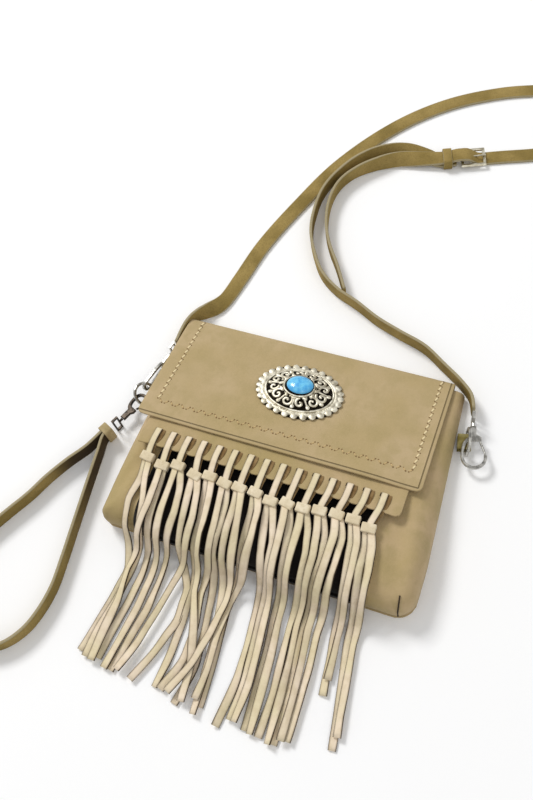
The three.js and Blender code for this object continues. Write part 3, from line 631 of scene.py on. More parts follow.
# %% [markdown]
# The pouch is a flat purse of soft suede with rounded sides. It would be sewn from a front and a
# back with a boxed bottom, so the outline is an inset rectangle with two rounded lower corners.
# A grid is laid over that outline, raised to the height of the filled bag and rounded off near
# its rim, and a few shallow dents show how the leather sags where nothing fills it.

# %% Pouch
BODY_HALF = 125
MOUTH_HALF_RIGHT = 116.5
BODY_BOTTOM = -97
MOUTH = 89
TAPER_FROM = -55
HEIGHTS = [(-97, 32.5), (-65, 32.5), (-40, 31.2), (-11, 28.2), (40, 19), (89, 9.8)]


def along(table, y):
    """A value between the rows of a table of (y, value), smoothly."""
    rows = sorted(table)
    if y <= rows[0][0]:
        return rows[0][1]
    for (y0, v0), (y1, v1) in zip(rows, rows[1:]):
        if y <= y1:
            return v0 + (v1 - v0) * (y - y0) / (y1 - y0)
    return rows[-1][1]


def right_side(y):
    if y < TAPER_FROM:
        return BODY_HALF
    return BODY_HALF + (MOUTH_HALF_RIGHT - BODY_HALF) * (y - TAPER_FROM) / (MOUTH - TAPER_FROM)


def spaced(count, edge):
    """Numbers from -1 to 1 that lie closer together near both ends."""
    plain = [-1 + 2 * i / count for i in range(count + 1)]
    return [math.sin(t * math.pi / 2) * edge + t * (1 - edge) for t in plain]


def outline_place(a, b, corner=15, inset=0.0):
    """Grid numbers a, b (-1 to 1) to a place on the bag, with round lower corners. Millimetres."""
    corner = corner if a > 0 else 7
    y = BODY_BOTTOM + (MOUTH - BODY_BOTTOM) * (b + 1) / 2
    left, right = -BODY_HALF, right_side(y)
    x = left + (right - left) * (a + 1) / 2
    for side, edge in ((-1, left), (1, right)):
        px = (x - (edge - side * corner)) * side / corner
        py = (BODY_BOTTOM + corner - y) / corner
        if px > 0 and py > 0:
            reach = max(px, py) / math.hypot(px, py)
            x = edge - side * corner + side * px * reach * corner
            y = BODY_BOTTOM + corner - py * reach * corner
    return x, y


def rim_distance(a, b, y):
    """How far inside the outline a grid place is, leaving out the mouth."""
    x, yy = outline_place(a, b)
    sides = min(x + BODY_HALF, right_side(yy) - x)
    low = yy - BODY_BOTTOM
    corner = 15 if x > 0 else 7
    if sides < corner and low < corner:
        return max(0.0, corner - math.hypot(corner - sides, corner - low))
    return max(0.0, min(sides, low))


def sag(x, y):
    """Soft dents in millimetres: broad ones all over and two folds at the lower corners."""
    broad = noise.noise(Vector((x / 55, y / 55, 3.7))) * 1.3
    small = noise.noise(Vector((x / 22, y / 22, 8.1))) * 0.45
    left = -3.2 * math.exp(-(((x + 112 - (y + 60) * 0.35) / 7) ** 2) - ((y + 62) / 26) ** 2)
    right = -2.6 * math.exp(-(((x - 106 + (y + 70) * 0.25) / 8) ** 2) - ((y + 62) / 30) ** 2)
    return broad + small + left + right


def pouch_top(a, b):
    x, y = outline_place(a, b)
    high = along(HEIGHTS, y)
    d = rim_distance(a, b, y)
    rim = min(19, high * 0.72)
    if d < rim:
        drop = rim * (1 - math.sqrt(max(0.0, 1 - (1 - d / rim) ** 2)))
    else:
        drop = 0
    soft = min(1.0, d / 12)
    return Vector((x, y, high - drop + sag(x, y) * soft)) * MM


def make_pouch():
    mesh = bmesh.new()
    across, up = spaced(96, 0.55), spaced(72, 0.55)
    bmesh.ops.create_grid(mesh, x_segments=96, y_segments=72, size=1)
    mesh.verts.ensure_lookup_table()
    for vert in mesh.verts:
        a = across[round((vert.co.x + 1) * 48)]
        b = up[round((vert.co.y + 1) * 36)]
        vert.co = pouch_top(a, b)
    rim = [e for e in mesh.edges if e.is_boundary and min(v.co.y for v in e.verts) < (MOUTH - 1) * MM]
    mouth_line = MOUTH * MM - 0.0004
    rim = [e for e in rim if not all(v.co.y > mouth_line for v in e.verts)]
    levels = (0.62, 0.3, 0.0)
    start = {}
    edges = rim
    for level, tuck in zip(levels, (0.0, 0.6, 2.4)):
        out = bmesh.ops.extrude_edge_only(mesh, edges=edges)["geom"]
        new = [g for g in out if isinstance(g, bmesh.types.BMVert)]
        for vert in new:
            low = 0.0021
            base = vert.co.z
            if level == 0.62:
                start[(round(vert.co.x, 5), round(vert.co.y, 5))] = base
                vert.co.z = low + (base - low) * level
            else:
                ratio = level / (0.62 if level == 0.3 else 0.3)
                vert.co.z = low + (base - low) * ratio
            centre = Vector((0, 0, 0))
            inward = Vector((centre.x - vert.co.x, centre.y - vert.co.y, 0)).normalized()
            vert.co += inward * tuck * MM
        edges = [g for g in out if isinstance(g, bmesh.types.BMEdge) and set(g.verts) <= set(new)]
    pouch = finished("pouch_skin", mesh, tan_nubuck)
    wall = pouch.modifiers.new("wall", "SOLIDIFY")
    wall.thickness = 1.6 * MM
    wall.offset = -1
    return pouch


pouch = make_pouch()
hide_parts("front_pouch", "lining")
print("pouch faces:", len(pouch.data.polygons))

# %% [markdown]
# The back and the flap are one hide: it rises up the back, folds over the mouth and comes down
# over the front. The flap's rim is cut straight with slightly rounded corners, and a fine groove
# is pressed near its lower and right edges.

# %% Back and flap
FLAP_LEFT, FLAP_RIGHT = -125.5, 107
FLAP_TOP, FLAP_EDGE = 94, -11
FLAP_TOP_HEIGHT, FLAP_SLOPE = 12, 0.2228


def flap_height(y):
    return FLAP_TOP_HEIGHT + (FLAP_TOP - y) * FLAP_SLOPE


def flap_wave(x, y):
    """The flap bends a little over what lies below it, in millimetres."""
    free = (FLAP_TOP - y) / (FLAP_TOP - FLAP_EDGE)
    rise = noise.noise(Vector((x / 70, y / 60, 1.3))) * 0.55
    lift = 0.5 * math.sin(x / 37) * free**3
    dip = -1.6 * math.exp(-(((x - 96) / 16) ** 2)) * free
    return (rise + lift + dip) * min(1, free * 6)


def flap_profile():
    """Places along the flap from the back over the fold to its free edge, in Y and Z."""
    points = [(60, 1.0), (84, 1.0)]
    radius = 5.4
    for i in range(1, 9):
        angle = math.radians(-90 + 192.56 * i / 9)
        points.append((89.8 + radius * math.cos(angle), 1.0 + radius + radius * math.sin(angle)))
    steps = 40
    for i in range(steps + 1):
        y = 86 + (FLAP_EDGE - 86) * i / steps
        points.append((y, flap_height(y) - 0.8))
    return points


def make_flap():
    mesh = bmesh.new()
    profile = flap_profile()
    columns = 74
    bmesh.ops.create_grid(mesh, x_segments=columns, y_segments=len(profile) - 1, size=1)
    round_at = 5.0
    for vert in mesh.verts:
        a = (vert.co.x + 1) / 2
        row = round((vert.co.y + 1) / 2 * (len(profile) - 1))
        y, z = profile[row]
        x = FLAP_LEFT + (FLAP_RIGHT - FLAP_LEFT) * a
        on_top = row > 10
        if on_top:
            z += flap_wave(x, y)
        left, right, low = x - FLAP_LEFT, FLAP_RIGHT - x, y - FLAP_EDGE
        near = min(left, right)
        if on_top and near < round_at and low < round_at:
            px, py = 1 - near / round_at, 1 - low / round_at
            reach = max(px, py) / max(1e-6, math.hypot(px, py))
            side = -1 if left < right else 1
            edge = FLAP_LEFT if side < 0 else FLAP_RIGHT
            x = edge - side * round_at + side * px * reach * round_at
            y = FLAP_EDGE + round_at - py * reach * round_at
        vert.co = Vector((x, y, z)) * MM
    grid = bmesh.ops.create_grid(mesh, x_segments=40, y_segments=30, size=1)["verts"]
    for vert in grid:
        x, y = outline_place(vert.co.x, vert.co.y)
        vert.co = Vector((x, y, 0.9)) * MM
        if vert.co.y > 0.082:
            vert.co.z = 0.0009
    flap = finished("back_and_flap_hide", mesh, flap_nubuck)
    hide = flap.modifiers.new("hide", "SOLIDIFY")
    hide.thickness = 1.6 * MM
    hide.offset = 0
    soft = flap.modifiers.new("soft edge", "BEVEL")
    soft.width = 0.45 * MM
    soft.segments = 2
    soft.limit_method = "ANGLE"
    soft.angle_limit = math.radians(50)
    return flap


flap = make_flap()
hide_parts("back_and_flap", "flap_lining")
print("flap faces:", len(flap.data.polygons))

# %% [markdown]
# The fringe hangs from a strip that is sewn under the flap. The strip has a row of slots, each
# lace goes through one slot as a folded loop, and a short wrap binds the loop below it. Two
# tails leave every wrap, cross their neighbours, slide off the bag's lower edge and lie on the
# table. The tails follow given points, and the order in which they lie is kept from the
# frame: each is put in the lowest layer where nothing earlier crosses it.

# %% Fringe strip and the painted shade under it
STRIP_LEFT, STRIP_RIGHT = -114, 98
STRIP_DEEP = 3.07
SLOT_ROW = -21
LACE_WIDTH, LACE_LEATHER, LACE_LIFT = 5.8, 1.3, 2.0


def slot_x(lace):
    return -9 + (lace - 8) * 13.1


def strip_height(x, y):
    return flap_height(y) - STRIP_DEEP + noise.noise(Vector((x / 18, y / 14, 5.2))) * 0.35


def make_strip():
    mesh = bmesh.new()
    columns = [STRIP_LEFT, STRIP_LEFT + 2]
    for lace in range(1, 16):
        x = slot_x(lace)
        columns += [x - 5, x - 3.5, x, x + 3.5, x + 5]
    columns += [STRIP_RIGHT - 5, STRIP_RIGHT]
    columns = sorted(columns)
    rows = [2, -6, -13, -19.5, -22.5, -26, -30, -33, -34.6]
    bmesh.ops.create_grid(mesh, x_segments=len(columns) - 1, y_segments=len(rows) - 1, size=1)
    doomed = []
    for face in mesh.faces:
        mid = face.calc_center_median()
        column = int((mid.x + 1) / 2 * (len(columns) - 1))
        row = int((1 - mid.y) / 2 * (len(rows) - 1))
        middle = (columns[column] + columns[column + 1]) / 2
        in_slot = any(abs(middle - slot_x(n)) < 3.4 for n in range(1, 16))
        if in_slot and rows[row] == -19.5:
            doomed.append(face)
    for vert in mesh.verts:
        x = columns[round((vert.co.x + 1) / 2 * (len(columns) - 1))]
        y = rows[round((1 - vert.co.y) / 2 * (len(rows) - 1))]
        nearest = min(abs(x - slot_x(n)) for n in range(1, 16))
        if y < -32:
            y += 1.1 - min(nearest, 6) * 0.25
        if y < -32 and (x < STRIP_LEFT + 1 or x > STRIP_RIGHT - 1):
            x += 1.2 if x < 0 else (-4.0 if y < -34.2 else -0.8)
        vert.co = Vector((x, y, strip_height(x, y) - 0.7)) * MM
    bmesh.ops.delete(mesh, geom=doomed, context="FACES")
    strip = finished("fringe_strip_skin", mesh, tan_nubuck)
    hide = strip.modifiers.new("hide", "SOLIDIFY")
    hide.thickness = 1.4 * MM
    hide.offset = 0
    soft = strip.modifiers.new("soft edge", "BEVEL")
    soft.width = 0.3 * MM
    soft.segments = 2
    soft.limit_method = "ANGLE"
    soft.angle_limit = math.radians(50)
    return strip


strip = make_strip()
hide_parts("fringe_strip")


def bag_height(x, y):
    """The pouch's upper surface above a place away from its corners, in millimetres."""
    b = 2 * (y - BODY_BOTTOM) / (MOUTH - BODY_BOTTOM) - 1
    left, right = -BODY_HALF, right_side(y)
    a = 2 * (x - left) / (right - left) - 1
    return pouch_top(max(-1, min(1, a)), max(-1, min(1, b))).z / MM


# Painted shade: a near-black sheet laid on the pouch under the fringe, from the strip down to the table, in
# place of the shade between the laces.
def make_under_fringe_shade():
    mesh = bmesh.new()
    rows = [-24 - 3 * i for i in range(22)] + [-89, -91.5, -93.5, -95.2, -96.4, -97]
    skirt = (15, 10, 5.5)
    count = len(rows) + len(skirt) - 1
    bmesh.ops.create_grid(mesh, x_segments=48, y_segments=count, size=1)
    for vert in mesh.verts:
        x = -94 + 175 * (vert.co.x + 1) / 2
        row = round((1 - vert.co.y) / 2 * count)
        if row < len(rows):
            place = (x, rows[row] - 0.3, bag_height(x, rows[row]) + 0.5)
        else:
            place = (x, BODY_BOTTOM - 0.5, skirt[row - len(rows)])
        vert.co = Vector(place) * MM
    under_fringe_shade = finished("under_fringe_shade_sheet", mesh, under_fringe_shade_finish)
    cloth = under_fringe_shade.modifiers.new("cloth", "SOLIDIFY")
    cloth.thickness = 0.5 * MM
    cloth.offset = 0
    return under_fringe_shade


under_fringe_shade = make_under_fringe_shade()
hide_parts("fringe_backing")

# %% Laces
KNOTS = [
    (-100, -45), (-86, -48.5), (-74, -45), (-58.5, -48.5), (-47, -46), (-34, -48), (-22, -48), (-9, -48),
    (4, -51), (16.5, -49), (29, -49), (41, -47), (54, -46), (66.5, -46), (79, -49),
]
STATIONS = [-62, -80, -100, -125, -150, -175]
TAILS = [
    [(-99, -101, -99, -92, -94, -98, -101, -193), (-95, -89, -86, -88, -90, -94, -95, -196)],
    [(-85, -84, -87, -90, -88, -89, -89, -197), (-83, -81, -80, -79, -81, -84, -86, -194)],
    [(-74, -73, -72, -71, -72, -75, -78, -199), (-66, -63, -64, -64, -65, -69, -73, -199)],
    [(-58, -55, -53, -41, -39, -46, -56, -200), (-51, -47, -47, -52, -56, -61, -68, -197)],
    [(-45, -41, -41, -37, -35, -35, -37, -199), (-41, -38, -37, -34, -25, -17, -14, -202)],
    [(-33, -30, -29, -29, -24, -24, -32, -199), (-28, -26, -26, -21, -17, -14, -19, -205)],
    [(-21, -20, -18, -13, -8, -5, -3, -207), (-16, -12, -9, -8, -11, -16, -26, -199)],
    [(-8, -6, -4, -7, -5, -2, -1, -201), (-2, 0, 0, -5, -6, -4, -5, -197)],
    [(4, 8, 12, 15, 17, 18, 15, -209), (10, 16, 18, 19, 22, 24, 23, -202)],
    [(18, 20, 21, 23, 26, 28, 27, -202), (23, 26, 28, 29, 32, 34, 35, -205)],
    [(30, 31, 32, 33, 36, 38, 40, -206), (37, 41, 42, 42, 44, 46, 46, -206)],
    [(44, 47, 47, 47, 50, 52, 54, -208), (50, 53, 52, 52, 55, 57, 58, -207)],
    [(57, 57, 56, 56, 59, 61, 62, -203), (63, 64, 63, 63, 65, 66, 66, -202)],
    [(70, 72, 74, 75, 78, 80, 80, -165), (74, 76, 77, 78, 80, 80, 80, -154)],
    [(80, 81, 84, 86, 90, 94, 97, -197), (85, 88, 89, 90, 93, 96, 98, -188)],
]
SLOPE = [
    (-45, 33.4), (-62, 34.6), (-80, 34.6), (-92, 31), (-99, 24), (-104, 14),
    (-109, 6), (-116, 2.2), (-125, 1.1), (-220, 1.1),
]


def tail_x(tail, y):
    line = list(zip(STATIONS, tail)) + [(tail[7], tail[6])]
    return tail[0] if y >= STATIONS[0] else along(line, max(y, tail[7]))


def tail_layers():
    """The layer of every tail: the lowest in which no earlier one crosses it."""
    tails = [tail for pair in TAILS for tail in pair]
    layers = []
    for i, tail in enumerate(tails):
        taken = set()
        for j in range(i):
            y = -58
            while y > max(tail[7], tails[j][7]) - 8:
                if abs(tail_x(tail, y) - tail_x(tails[j], y)) < LACE_WIDTH + 2.4:
                    taken.add(layers[j])
                y -= 2
        layer = 0
        while layer in taken:
            layer += 1
        layers.append(layer)
    return layers


LAYERS = tail_layers()


def on_slope(x, y, layer):
    before, after = along(SLOPE, y + 3), along(SLOPE, y - 3)
    out = Vector((before - after, 6)).normalized()
    lift = layer * LACE_LIFT
    return x, y - out.x * lift, along(SLOPE, y) + out.y * lift


def tail_route(lace, which):
    """Points of one tail with a changing twist, never lower than the table allows."""
    tail = TAILS[lace - 1][which]
    layer = LAYERS[2 * (lace - 1) + which]
    x, y = KNOTS[lace - 1]
    route = [(x + (1.5 if which else -1.5), y + 1, along(SLOPE, y) + 2.4, 0)]
    stops = [-62, -71, -80, -88, -94, -99, -103, -107, -112, -118, -125, -137, -150, -162, -175]
    stops = [at for at in stops if at > tail[7] + 6] + [tail[7]]
    for at in stops:
        px = tail[6] if at == tail[7] else tail_x(tail, at)
        px, py, pz = on_slope(px, at, layer)
        free = min(1, (-58 - at) / 30)
        twist = noise.noise(Vector((lace * 3.1 + which * 7.7, at / 34, 0.5))) * 50 * max(0, free)
        if -112 < at < -90:
            twist *= 0.5
        pz += abs(math.sin(math.radians(twist))) * LACE_WIDTH / 2 * 0.9
        route.append((px, py, pz, twist))
    return route


LACE_SECTION = strip_section(LACE_WIDTH - 0.5, LACE_LEATHER, 0.35)


def make_lace(lace):
    mesh = bmesh.new()
    x = slot_x(lace)
    kx, ky = KNOTS[lace - 1]
    base = along(SLOPE, ky)
    top = flap_height(SLOT_ROW) - STRIP_DEEP
    fall = (-30 - SLOT_ROW) * FLAP_SLOPE
    lean = (kx - x) * 0.12
    front = [
        (x, SLOT_ROW + 0.2, top - 2.6), (x, SLOT_ROW + 1.0, top + 0.9), (x, SLOT_ROW - 1.6, top + 1.9),
        (x + lean, -32, top + 1.7 - fall), (kx, ky + 1.5, base + 4.4), (kx, ky, base + 3.8),
    ]
    back = [(x, SLOT_ROW + 0.4, top - 2.4), (x, -32, top - 2.6 - fall), (kx, ky, base + 1.2)]
    sweep(mesh, smooth_route(front, 3), LACE_SECTION)
    sweep(mesh, smooth_route(back, 5), LACE_SECTION)
    for which in (0, 1):
        frames = []
        for i, stop in enumerate(smooth_route(tail_route(lace, which), 4)):
            wide = 1.1 + 0.34 * noise.noise(Vector((lace * 2.3, which * 5.1, i / 8)))
            frames.append(ring_matrix(*stop) @ Matrix.Diagonal((wide, 1, 1, 1)))
        sweep_frames(mesh, frames, LACE_SECTION)
    piece = finished(f"lace_{lace:02d}", mesh, cream_lace)
    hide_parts(f"fringe_lace_{lace:02d}")
    return piece


def make_wraps():
    """The short wraps that bind the laces, as one piece: soft blocks with bevelled edges."""
    mesh = bmesh.new()
    for lace, (kx, ky) in enumerate(KNOTS, start=1):
        base = along(SLOPE, ky) + 2.5
        block = bmesh.ops.create_cube(mesh, size=1)["verts"]
        tilt = math.radians(-6 + noise.noise(Vector((lace * 1.7, 0.3, 0.9))) * 16)
        size = Matrix.Diagonal((10.8 * MM, 7.2 * MM, 6.0 * MM, 1))
        turn = Matrix.Rotation(tilt, 4, "Z") @ Matrix.Rotation(math.radians(3), 4, "X")
        place = Matrix.Translation(Vector((kx, ky, base)) * MM)
        bmesh.ops.transform(mesh, matrix=place @ turn @ size, verts=block)
        edges = list({e for v in block for e in v.link_edges})
        bmesh.ops.bevel(
            mesh, geom=edges, offset=0.9 * MM, offset_type="OFFSET", segments=3,
            profile=0.5, affect="EDGES", material=-1,
        )
    wraps = finished("lace_wraps", mesh, lace_shade)
    return wraps


def make_folds():
    """The part of each lace that comes back under its own loop, beside it; its brown colour is painted shade.
    """
    mesh = bmesh.new()
    for lace in range(1, 16):
        x = slot_x(lace)
        kx, ky = KNOTS[lace - 1]
        top = flap_height(SLOT_ROW) - STRIP_DEEP
        points = [
            (x + 3.3, SLOT_ROW + 1.6, top - 1.4), (x + 3.5, SLOT_ROW - 0.4, top + 0.5),
            (x + 3.4, -27, top + 1.5), (x + 2.2, -33, top + 2.0), (kx + 0.8, ky + 2.5, along(SLOPE, ky) + 2.8),
        ]
        sweep(mesh, smooth_route(points, 3), strip_section(4.2, 1.0, 0.3))
    folds = finished("lace_folds", mesh, fold_painted_shade)
    return folds


laces = [make_lace(number) for number in range(1, 16)]
wraps = make_wraps()
folds = make_folds()
print("laces:", len(laces), "layers:", sorted(set(LAYERS)))

# %% [markdown]
# The ornament is a cast oval plate: a rim of small lobes, a raised ring, a sunk field with
# openwork scrolls on a low dome, and a turquoise stone in a bezel on top. The field is painted
# near-black as shade. It is made flat and then tilted with the flap's slope. The scrolls are plain
# traditional spirals with small leaves.

# %% Ornament
ORNAMENT_MATRIX = (
    Matrix.Translation(Vector((-8, 46.8, flap_height(46.8) + 0.3)) * MM)
    @ Matrix.Rotation(-math.atan(FLAP_SLOPE), 4, "X")
)
FIELD = (27.5, 19.6)


def dome(x, y):
    """Height of the dome under the scrolls, in millimetres above the flap."""
    out = min(1.0, math.hypot(x / FIELD[0], y / FIELD[1]))
    return 2.0 + 6.0 * (1 - max(0.0, out - 0.3) / 0.7) ** 0.8


def oval(count, half_x, half_y, z=0.0):
    steps = [2 * math.pi * i / count for i in range(count)]
    return [(half_x * math.cos(t), half_y * math.sin(t), z) for t in steps]


def oval_rings(mesh, rows, count=72):
    """A closed surface of oval rings, each row being half width, half height and z."""
    ring = [mesh.verts.new(Vector(p) * MM) for p in oval(count, *rows[0])]
    edges = [mesh.edges.new((ring[i], ring[(i + 1) % count])) for i in range(count)]
    mesh.faces.new(list(reversed(ring)))
    for before, row in zip(rows, rows[1:]):
        out = bmesh.ops.extrude_edge_only(mesh, edges=edges)["geom"]
        moved = [g for g in out if isinstance(g, bmesh.types.BMVert)]
        scale = Matrix.Diagonal((row[0] / before[0], row[1] / before[1], 1, 1))
        rise = Matrix.Translation(Vector((0, 0, (row[2] - before[2]) * MM)))
        bmesh.ops.transform(mesh, matrix=rise @ scale, verts=moved)
        new = set(moved)
        edges = [g for g in out if isinstance(g, bmesh.types.BMEdge) and set(g.verts) <= new]
    bmesh.ops.holes_fill(mesh, edges=edges)


def wire(mesh, points, radius, flat=1.0):
    """A thin cast wire along points in millimetres."""
    corners = [(radius * MM * math.cos(k * math.pi / 3), radius * flat * MM * math.sin(k * math.pi / 3))
               for k in range(6)]
    sweep(mesh, smooth_route(points, 1.0), corners)


def oval_wire(mesh, half_x, half_y, z, radius, flat=1.0):
    corners = [(radius * flat * MM * math.cos(k * math.pi / 4), radius * MM * math.sin(k * math.pi / 4))
               for k in range(8)]
    path = [(x, y) for x, y, _ in oval(96, half_x, half_y)]
    band(mesh, path, Matrix.Translation((0, 0, z * MM)), corners, closed=True)


def bead(mesh, place, size, turn=0.0, segments=10):
    """A flattened ball, used for lobes, leaves and small drops."""
    grow = Matrix.Diagonal((*(s * MM for s in size), 1))
    spot = Matrix.Translation(Vector(place) * MM) @ Matrix.Rotation(turn, 4, "Z")
    bmesh.ops.create_uvsphere(
        mesh, u_segments=segments, v_segments=segments // 2 + 1, radius=1, matrix=spot @ grow
    )


def scroll(mesh, centre, start, hand, reach, turns=1.35):
    points = []
    steps = 16
    for i in range(steps + 1):
        t = i / steps
        angle = start + hand * t * turns * 2 * math.pi
        r = reach * (1 - t) ** 0.8 + 0.5
        x, y = centre[0] + r * math.cos(angle), centre[1] + r * 0.9 * math.sin(angle)
        points.append((x, y, dome(x, y) + 0.9))
    wire(mesh, points, 1.15, 0.6)
    bead(mesh, (points[-1][0], points[-1][1], points[-1][2] + 0.1), (1.0, 1.0, 0.8), segments=8)


def make_plate():
    mesh = bmesh.new()
    rim = [(33.4, 24.4, 0.3), (33.2, 24.2, 1.3), (32.2, 23.4, 1.9), (28.6, 20.6, 2.1), (27.6, 19.7, 1.2)]
    oval_rings(mesh, rim)
    for i in range(28):
        t = 2 * math.pi * (i + 0.5) / 28
        x, y = 33.0 * math.cos(t), 24.1 * math.sin(t)
        heading = math.atan2(y * 1.35, x)
        bead(mesh, (x, y, 1.0), (3.7, 3.1, 1.05), heading, 12)
    for i in range(30):
        t = math.pi * (1.14 + 0.72 * i / 29)
        bead(mesh, (30.0 * math.cos(t), 21.9 * math.sin(t), 1.95), (0.55, 0.75, 0.5), t, segments=6)
    oval_wire(mesh, 28.0, 20.2, 2.0, 1.0)
    return mesh


def make_scrolls():
    mesh = bmesh.new()
    for i in range(12):
        t = 2 * math.pi * (i + 0.5) / 12
        hand = 1 if i % 2 else -1
        centre = (20.6 * math.cos(t), 14.6 * math.sin(t))
        scroll(mesh, centre, t + math.pi, hand, 4.4 if i % 3 else 3.6, 1.15 if i % 3 else 0.85)
        inner = (14.6 * math.cos(t + 0.26), 10.8 * math.sin(t + 0.26))
        bead(mesh, (*inner, dome(*inner) + 0.7), (3.3, 1.6, 0.8), t + 0.9 * hand, 8)
        stem = [(r * math.cos(t + 0.26) * 1.36, r * math.sin(t + 0.26)) for r in (9.4, 14, 19.2)]
        wire(mesh, [(x, y, dome(x, y) + 0.6) for x, y in stem], 0.85)
        leaf = (24.4 * math.cos(t + 0.26), 17.4 * math.sin(t + 0.26))
        bead(mesh, (*leaf, dome(*leaf) + 0.5), (2.6, 1.9, 0.8), t + 0.26, 8)
    oval_wire(mesh, 12.3, 10.2, 7.9, 0.85)
    for i in range(30):
        t = 2 * math.pi * i / 30
        bead(mesh, (13.6 * math.cos(t), 11.4 * math.sin(t), 6.9), (0.7, 0.7, 0.6), segments=6)
    return mesh


# Painted shade: the field, a plate under the lobes and a band round the stone take the near-black finish that
# stands in for the shade in the ornament's hollows and gaps.
def make_field():
    mesh = bmesh.new()
    oval_rings(mesh, [(35.6, 26.2, 0.1), (35.6, 26.2, 0.6), (33.0, 24.0, 0.7)])
    rows = [(27.6, 19.7, 0.9)]
    for share in (1.0, 0.9, 0.8, 0.7, 0.6, 0.5, 0.43):
        rows.append((FIELD[0] * share, FIELD[1] * share, dome(FIELD[0] * share, 0) - 0.1))
    oval_rings(mesh, rows)
    band_path = [(x + 0.4, y + 0.9) for x, y, _ in oval(64, 11.2, 9.2)]
    corner = [(0.55 * MM * math.cos(k * math.pi / 3), 0.55 * MM * math.sin(k * math.pi / 3)) for k in range(6)]
    band(mesh, band_path, Matrix.Translation((0, 0, 8.35 * MM)), corner, closed=True)
    return mesh


def make_stone():
    mesh = bmesh.new()
    bead(mesh, (0.4, 0.9, 8.2), (11.0, 9.0, 4.2), segments=40)
    bmesh.ops.bisect_plane(
        mesh, geom=mesh.verts[:] + mesh.edges[:] + mesh.faces[:],
        plane_co=(0, 0, 0.0079), plane_no=(0, 0, -1), clear_outer=True,
    )
    bmesh.ops.holes_fill(mesh, edges=[e for e in mesh.edges if e.is_boundary])
    return mesh


for name, make, finish, slot_name in (
    ("ornament_plate", make_plate, ornament_metal, "silver_metal"),
    ("ornament_scrolls", make_scrolls, ornament_metal, "silver_metal"),
    ("ornament_field", make_field, ornament_shade_finish, "silver_metal"),
    ("ornament_stone", make_stone, turquoise, "turquoise"),
):
    mesh = make()
    bmesh.ops.transform(mesh, matrix=ORNAMENT_MATRIX, verts=mesh.verts)
    piece = finished(name, mesh, finish)
    if name == "ornament_plate":
        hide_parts("concho_plate")
    if name == "ornament_stone":
        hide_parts("concho_stone")
    print(name, len(piece.data.polygons), "faces")

# %% [markdown]
# The flap is sewn with thick pale thread: one slanting stitch after another down both sides and
# a zigzag along the bottom. Each stitch sinks into a hole at both ends, so that each one is
# a soft bead of thread with two tiny flat pits beside it, brown as painted shade of the holes.

# %% Stitches
def on_flap(x, y, lift):
    return Vector((x, y, flap_height(y) + flap_wave(x, y) + lift)) * MM


SIDE_STITCH = 5.5
SIDE_LINES = []
for i in range(16):
    y = 91 - i * SIDE_STITCH
    SIDE_LINES.append((-112.8 - (91 - y) * 0.012, y, math.radians(70)))
    SIDE_LINES.append((96.6, y, math.radians(70)))
LOW_LINE = [(-111 + 206 * i / 43, 4.6, math.radians(48 if i % 2 else -48)) for i in range(44)]
SLOPE_TURN = Matrix.Rotation(-math.atan(FLAP_SLOPE), 4, "X")


def make_stitches(name, places, half, thick, thread_look, hole_look):
    """Beads of thread with a pit at both ends of each one; sizes in millimetres."""
    threads, holes = bmesh.new(), bmesh.new()
    for x, y, angle in places:
        spot = Matrix.Translation(on_flap(x, y, 0.12)) @ SLOPE_TURN @ Matrix.Rotation(angle, 4, "Z")
        grow = Matrix.Diagonal((half * MM, thick * MM, 0.7 * thick * MM, 1))
        bmesh.ops.create_uvsphere(threads, u_segments=8, v_segments=6, radius=1, matrix=spot @ grow)
        # Painted shade: each pit is a flat brown disc for the shade in a stitch hole.
        for end in (-half - 0.2, half + 0.2):
            pit = spot @ Matrix.Translation((end * MM, 0, -0.06 * MM))
            flat = Matrix.Diagonal((0.75 * MM, 0.7 * MM, 0.1 * MM, 1))
            bmesh.ops.create_uvsphere(holes, u_segments=8, v_segments=4, radius=1, matrix=pit @ flat)
    finished(name, threads, thread_look)
    finished(name + "_holes", holes, hole_look)
    print(name, len(places))


make_stitches("side_stitches", SIDE_LINES, 2.2, 0.85, thread, stitch_pit_shade)
make_stitches("low_stitches", LOW_LINE, 1.55, 0.6, tan_thread, stitch_pit_shade)

# %% [markdown]
# The dart at the lower right corner is where the boxed bottom is sewn: a short dark seam that
# runs over the corner and down its side.

# %% Corner dart
dart_mesh = bmesh.new()
dart_points = [(113.0, -87), (113.5, -90.5), (113.9, -93.5)]
dart_route = [(x, y, bag_height(x, y) + 0.2) for x, y in dart_points]
dart_route += [(114.2, -96.2, 19), (114.4, -96.6, 13), (114.4, -96.3, 6)]
sweep(dart_mesh, smooth_route(dart_route, 2), strip_section(1.1, 0.7, 0.3))
dart = finished("corner_dart", dart_mesh, dark_hole)

# %% [markdown]
# The small leather parts are bands that go round something: two tabs folded round the bars of
# the side rings, the keeper that holds the strap's spare end down, and the wrap that binds both
# ends of the wrist strap.

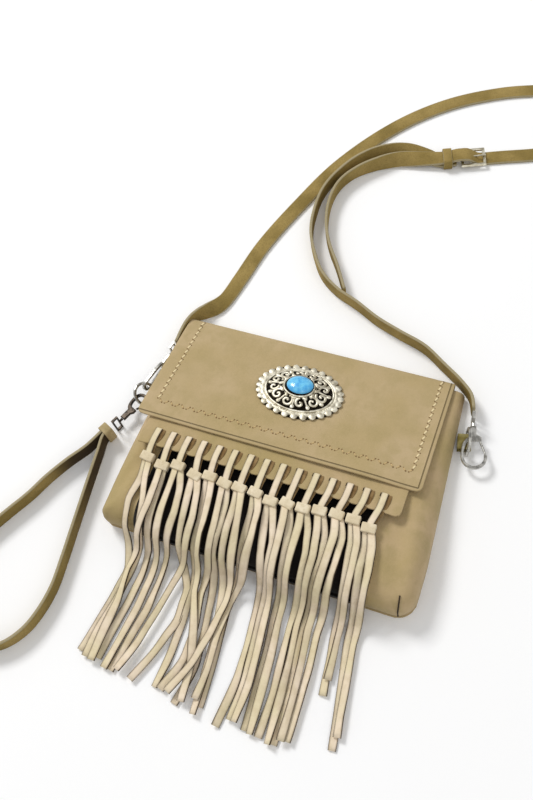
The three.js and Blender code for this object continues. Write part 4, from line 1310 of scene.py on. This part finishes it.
# %% Tabs, keeper and wrap
def fold_path(reach, radius):
    """The way of a tab: out along the table, round the ring's bar, and back above itself."""
    path = [(-reach, -radius), (-reach / 2, -radius)]
    for i in range(13):
        angle = math.radians(-90 + 15 * i)
        path.append((radius * math.cos(angle), radius * math.sin(angle)))
    return path + [(-reach / 2, radius), (-reach, radius)]


def rounded_rectangle(x0, x1, y0, y1, corner):
    path = []
    for cx, cy, start in (
        (x1 - corner, y0 + corner, -90), (x1 - corner, y1 - corner, 0),
        (x0 + corner, y1 - corner, 90), (x0 + corner, y0 + corner, 180),
    ):
        for i in range(5):
            angle = math.radians(start + 22.5 * i)
            path.append((cx + corner * math.cos(angle), cy + corner * math.sin(angle)))
    return path


def make_tab(name, place, turn, node):
    angle = math.radians(turn)
    out = (math.cos(angle), math.sin(angle), 0)
    mesh = bmesh.new()
    band(mesh, fold_path(7.4, 2.55), axes_at(place, out, (0, 0, 1)), strip_section(13, 1.3, 0.35))
    tab = finished(name, mesh, olive_leather)
    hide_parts(node)


make_tab("tab_right", (127.8, 50, 4.2), 12, "side_tab_right")
make_tab("tab_left", (-132.6, 16, 4.2), 180, "side_tab_left")

mesh = bmesh.new()
keeper_place = Vector((53.4, 328.7, 0)) + Vector((0.943, 0.333, 0)) * -13.5
keeper_path = rounded_rectangle(-8.5, 8.5, 0.7, 10.3, 2.0)
band(mesh, keeper_path, axes_at(keeper_place, (-0.333, 0.943, 0), (0, 0, 1)),
     strip_section(8, 1.2, 0.3), closed=True)
keeper = finished("keeper_band", mesh, strap_leather)
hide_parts("strap_keeper")

mesh = bmesh.new()
wrap_path = rounded_rectangle(-5.1, 5.1, -8.0, 8.0, 2.6)
band(mesh, wrap_path, axes_at((-152.7, -26.4, 9.2), (0.908, -0.42, 0), (0, 0, 1)),
     strip_section(7.4, 1.2, 0.35), closed=True)
wrap = finished("wrist_wrap_band", mesh, olive_light)
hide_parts("wrist_wrap")
print("small leather parts are made")

# %% [markdown]
# The last cell turns the corners of a box into plain numbers.

# %% Sizes and finish
def plain(bounds):
    return [[float(value) for value in corner] for corner in bounds]
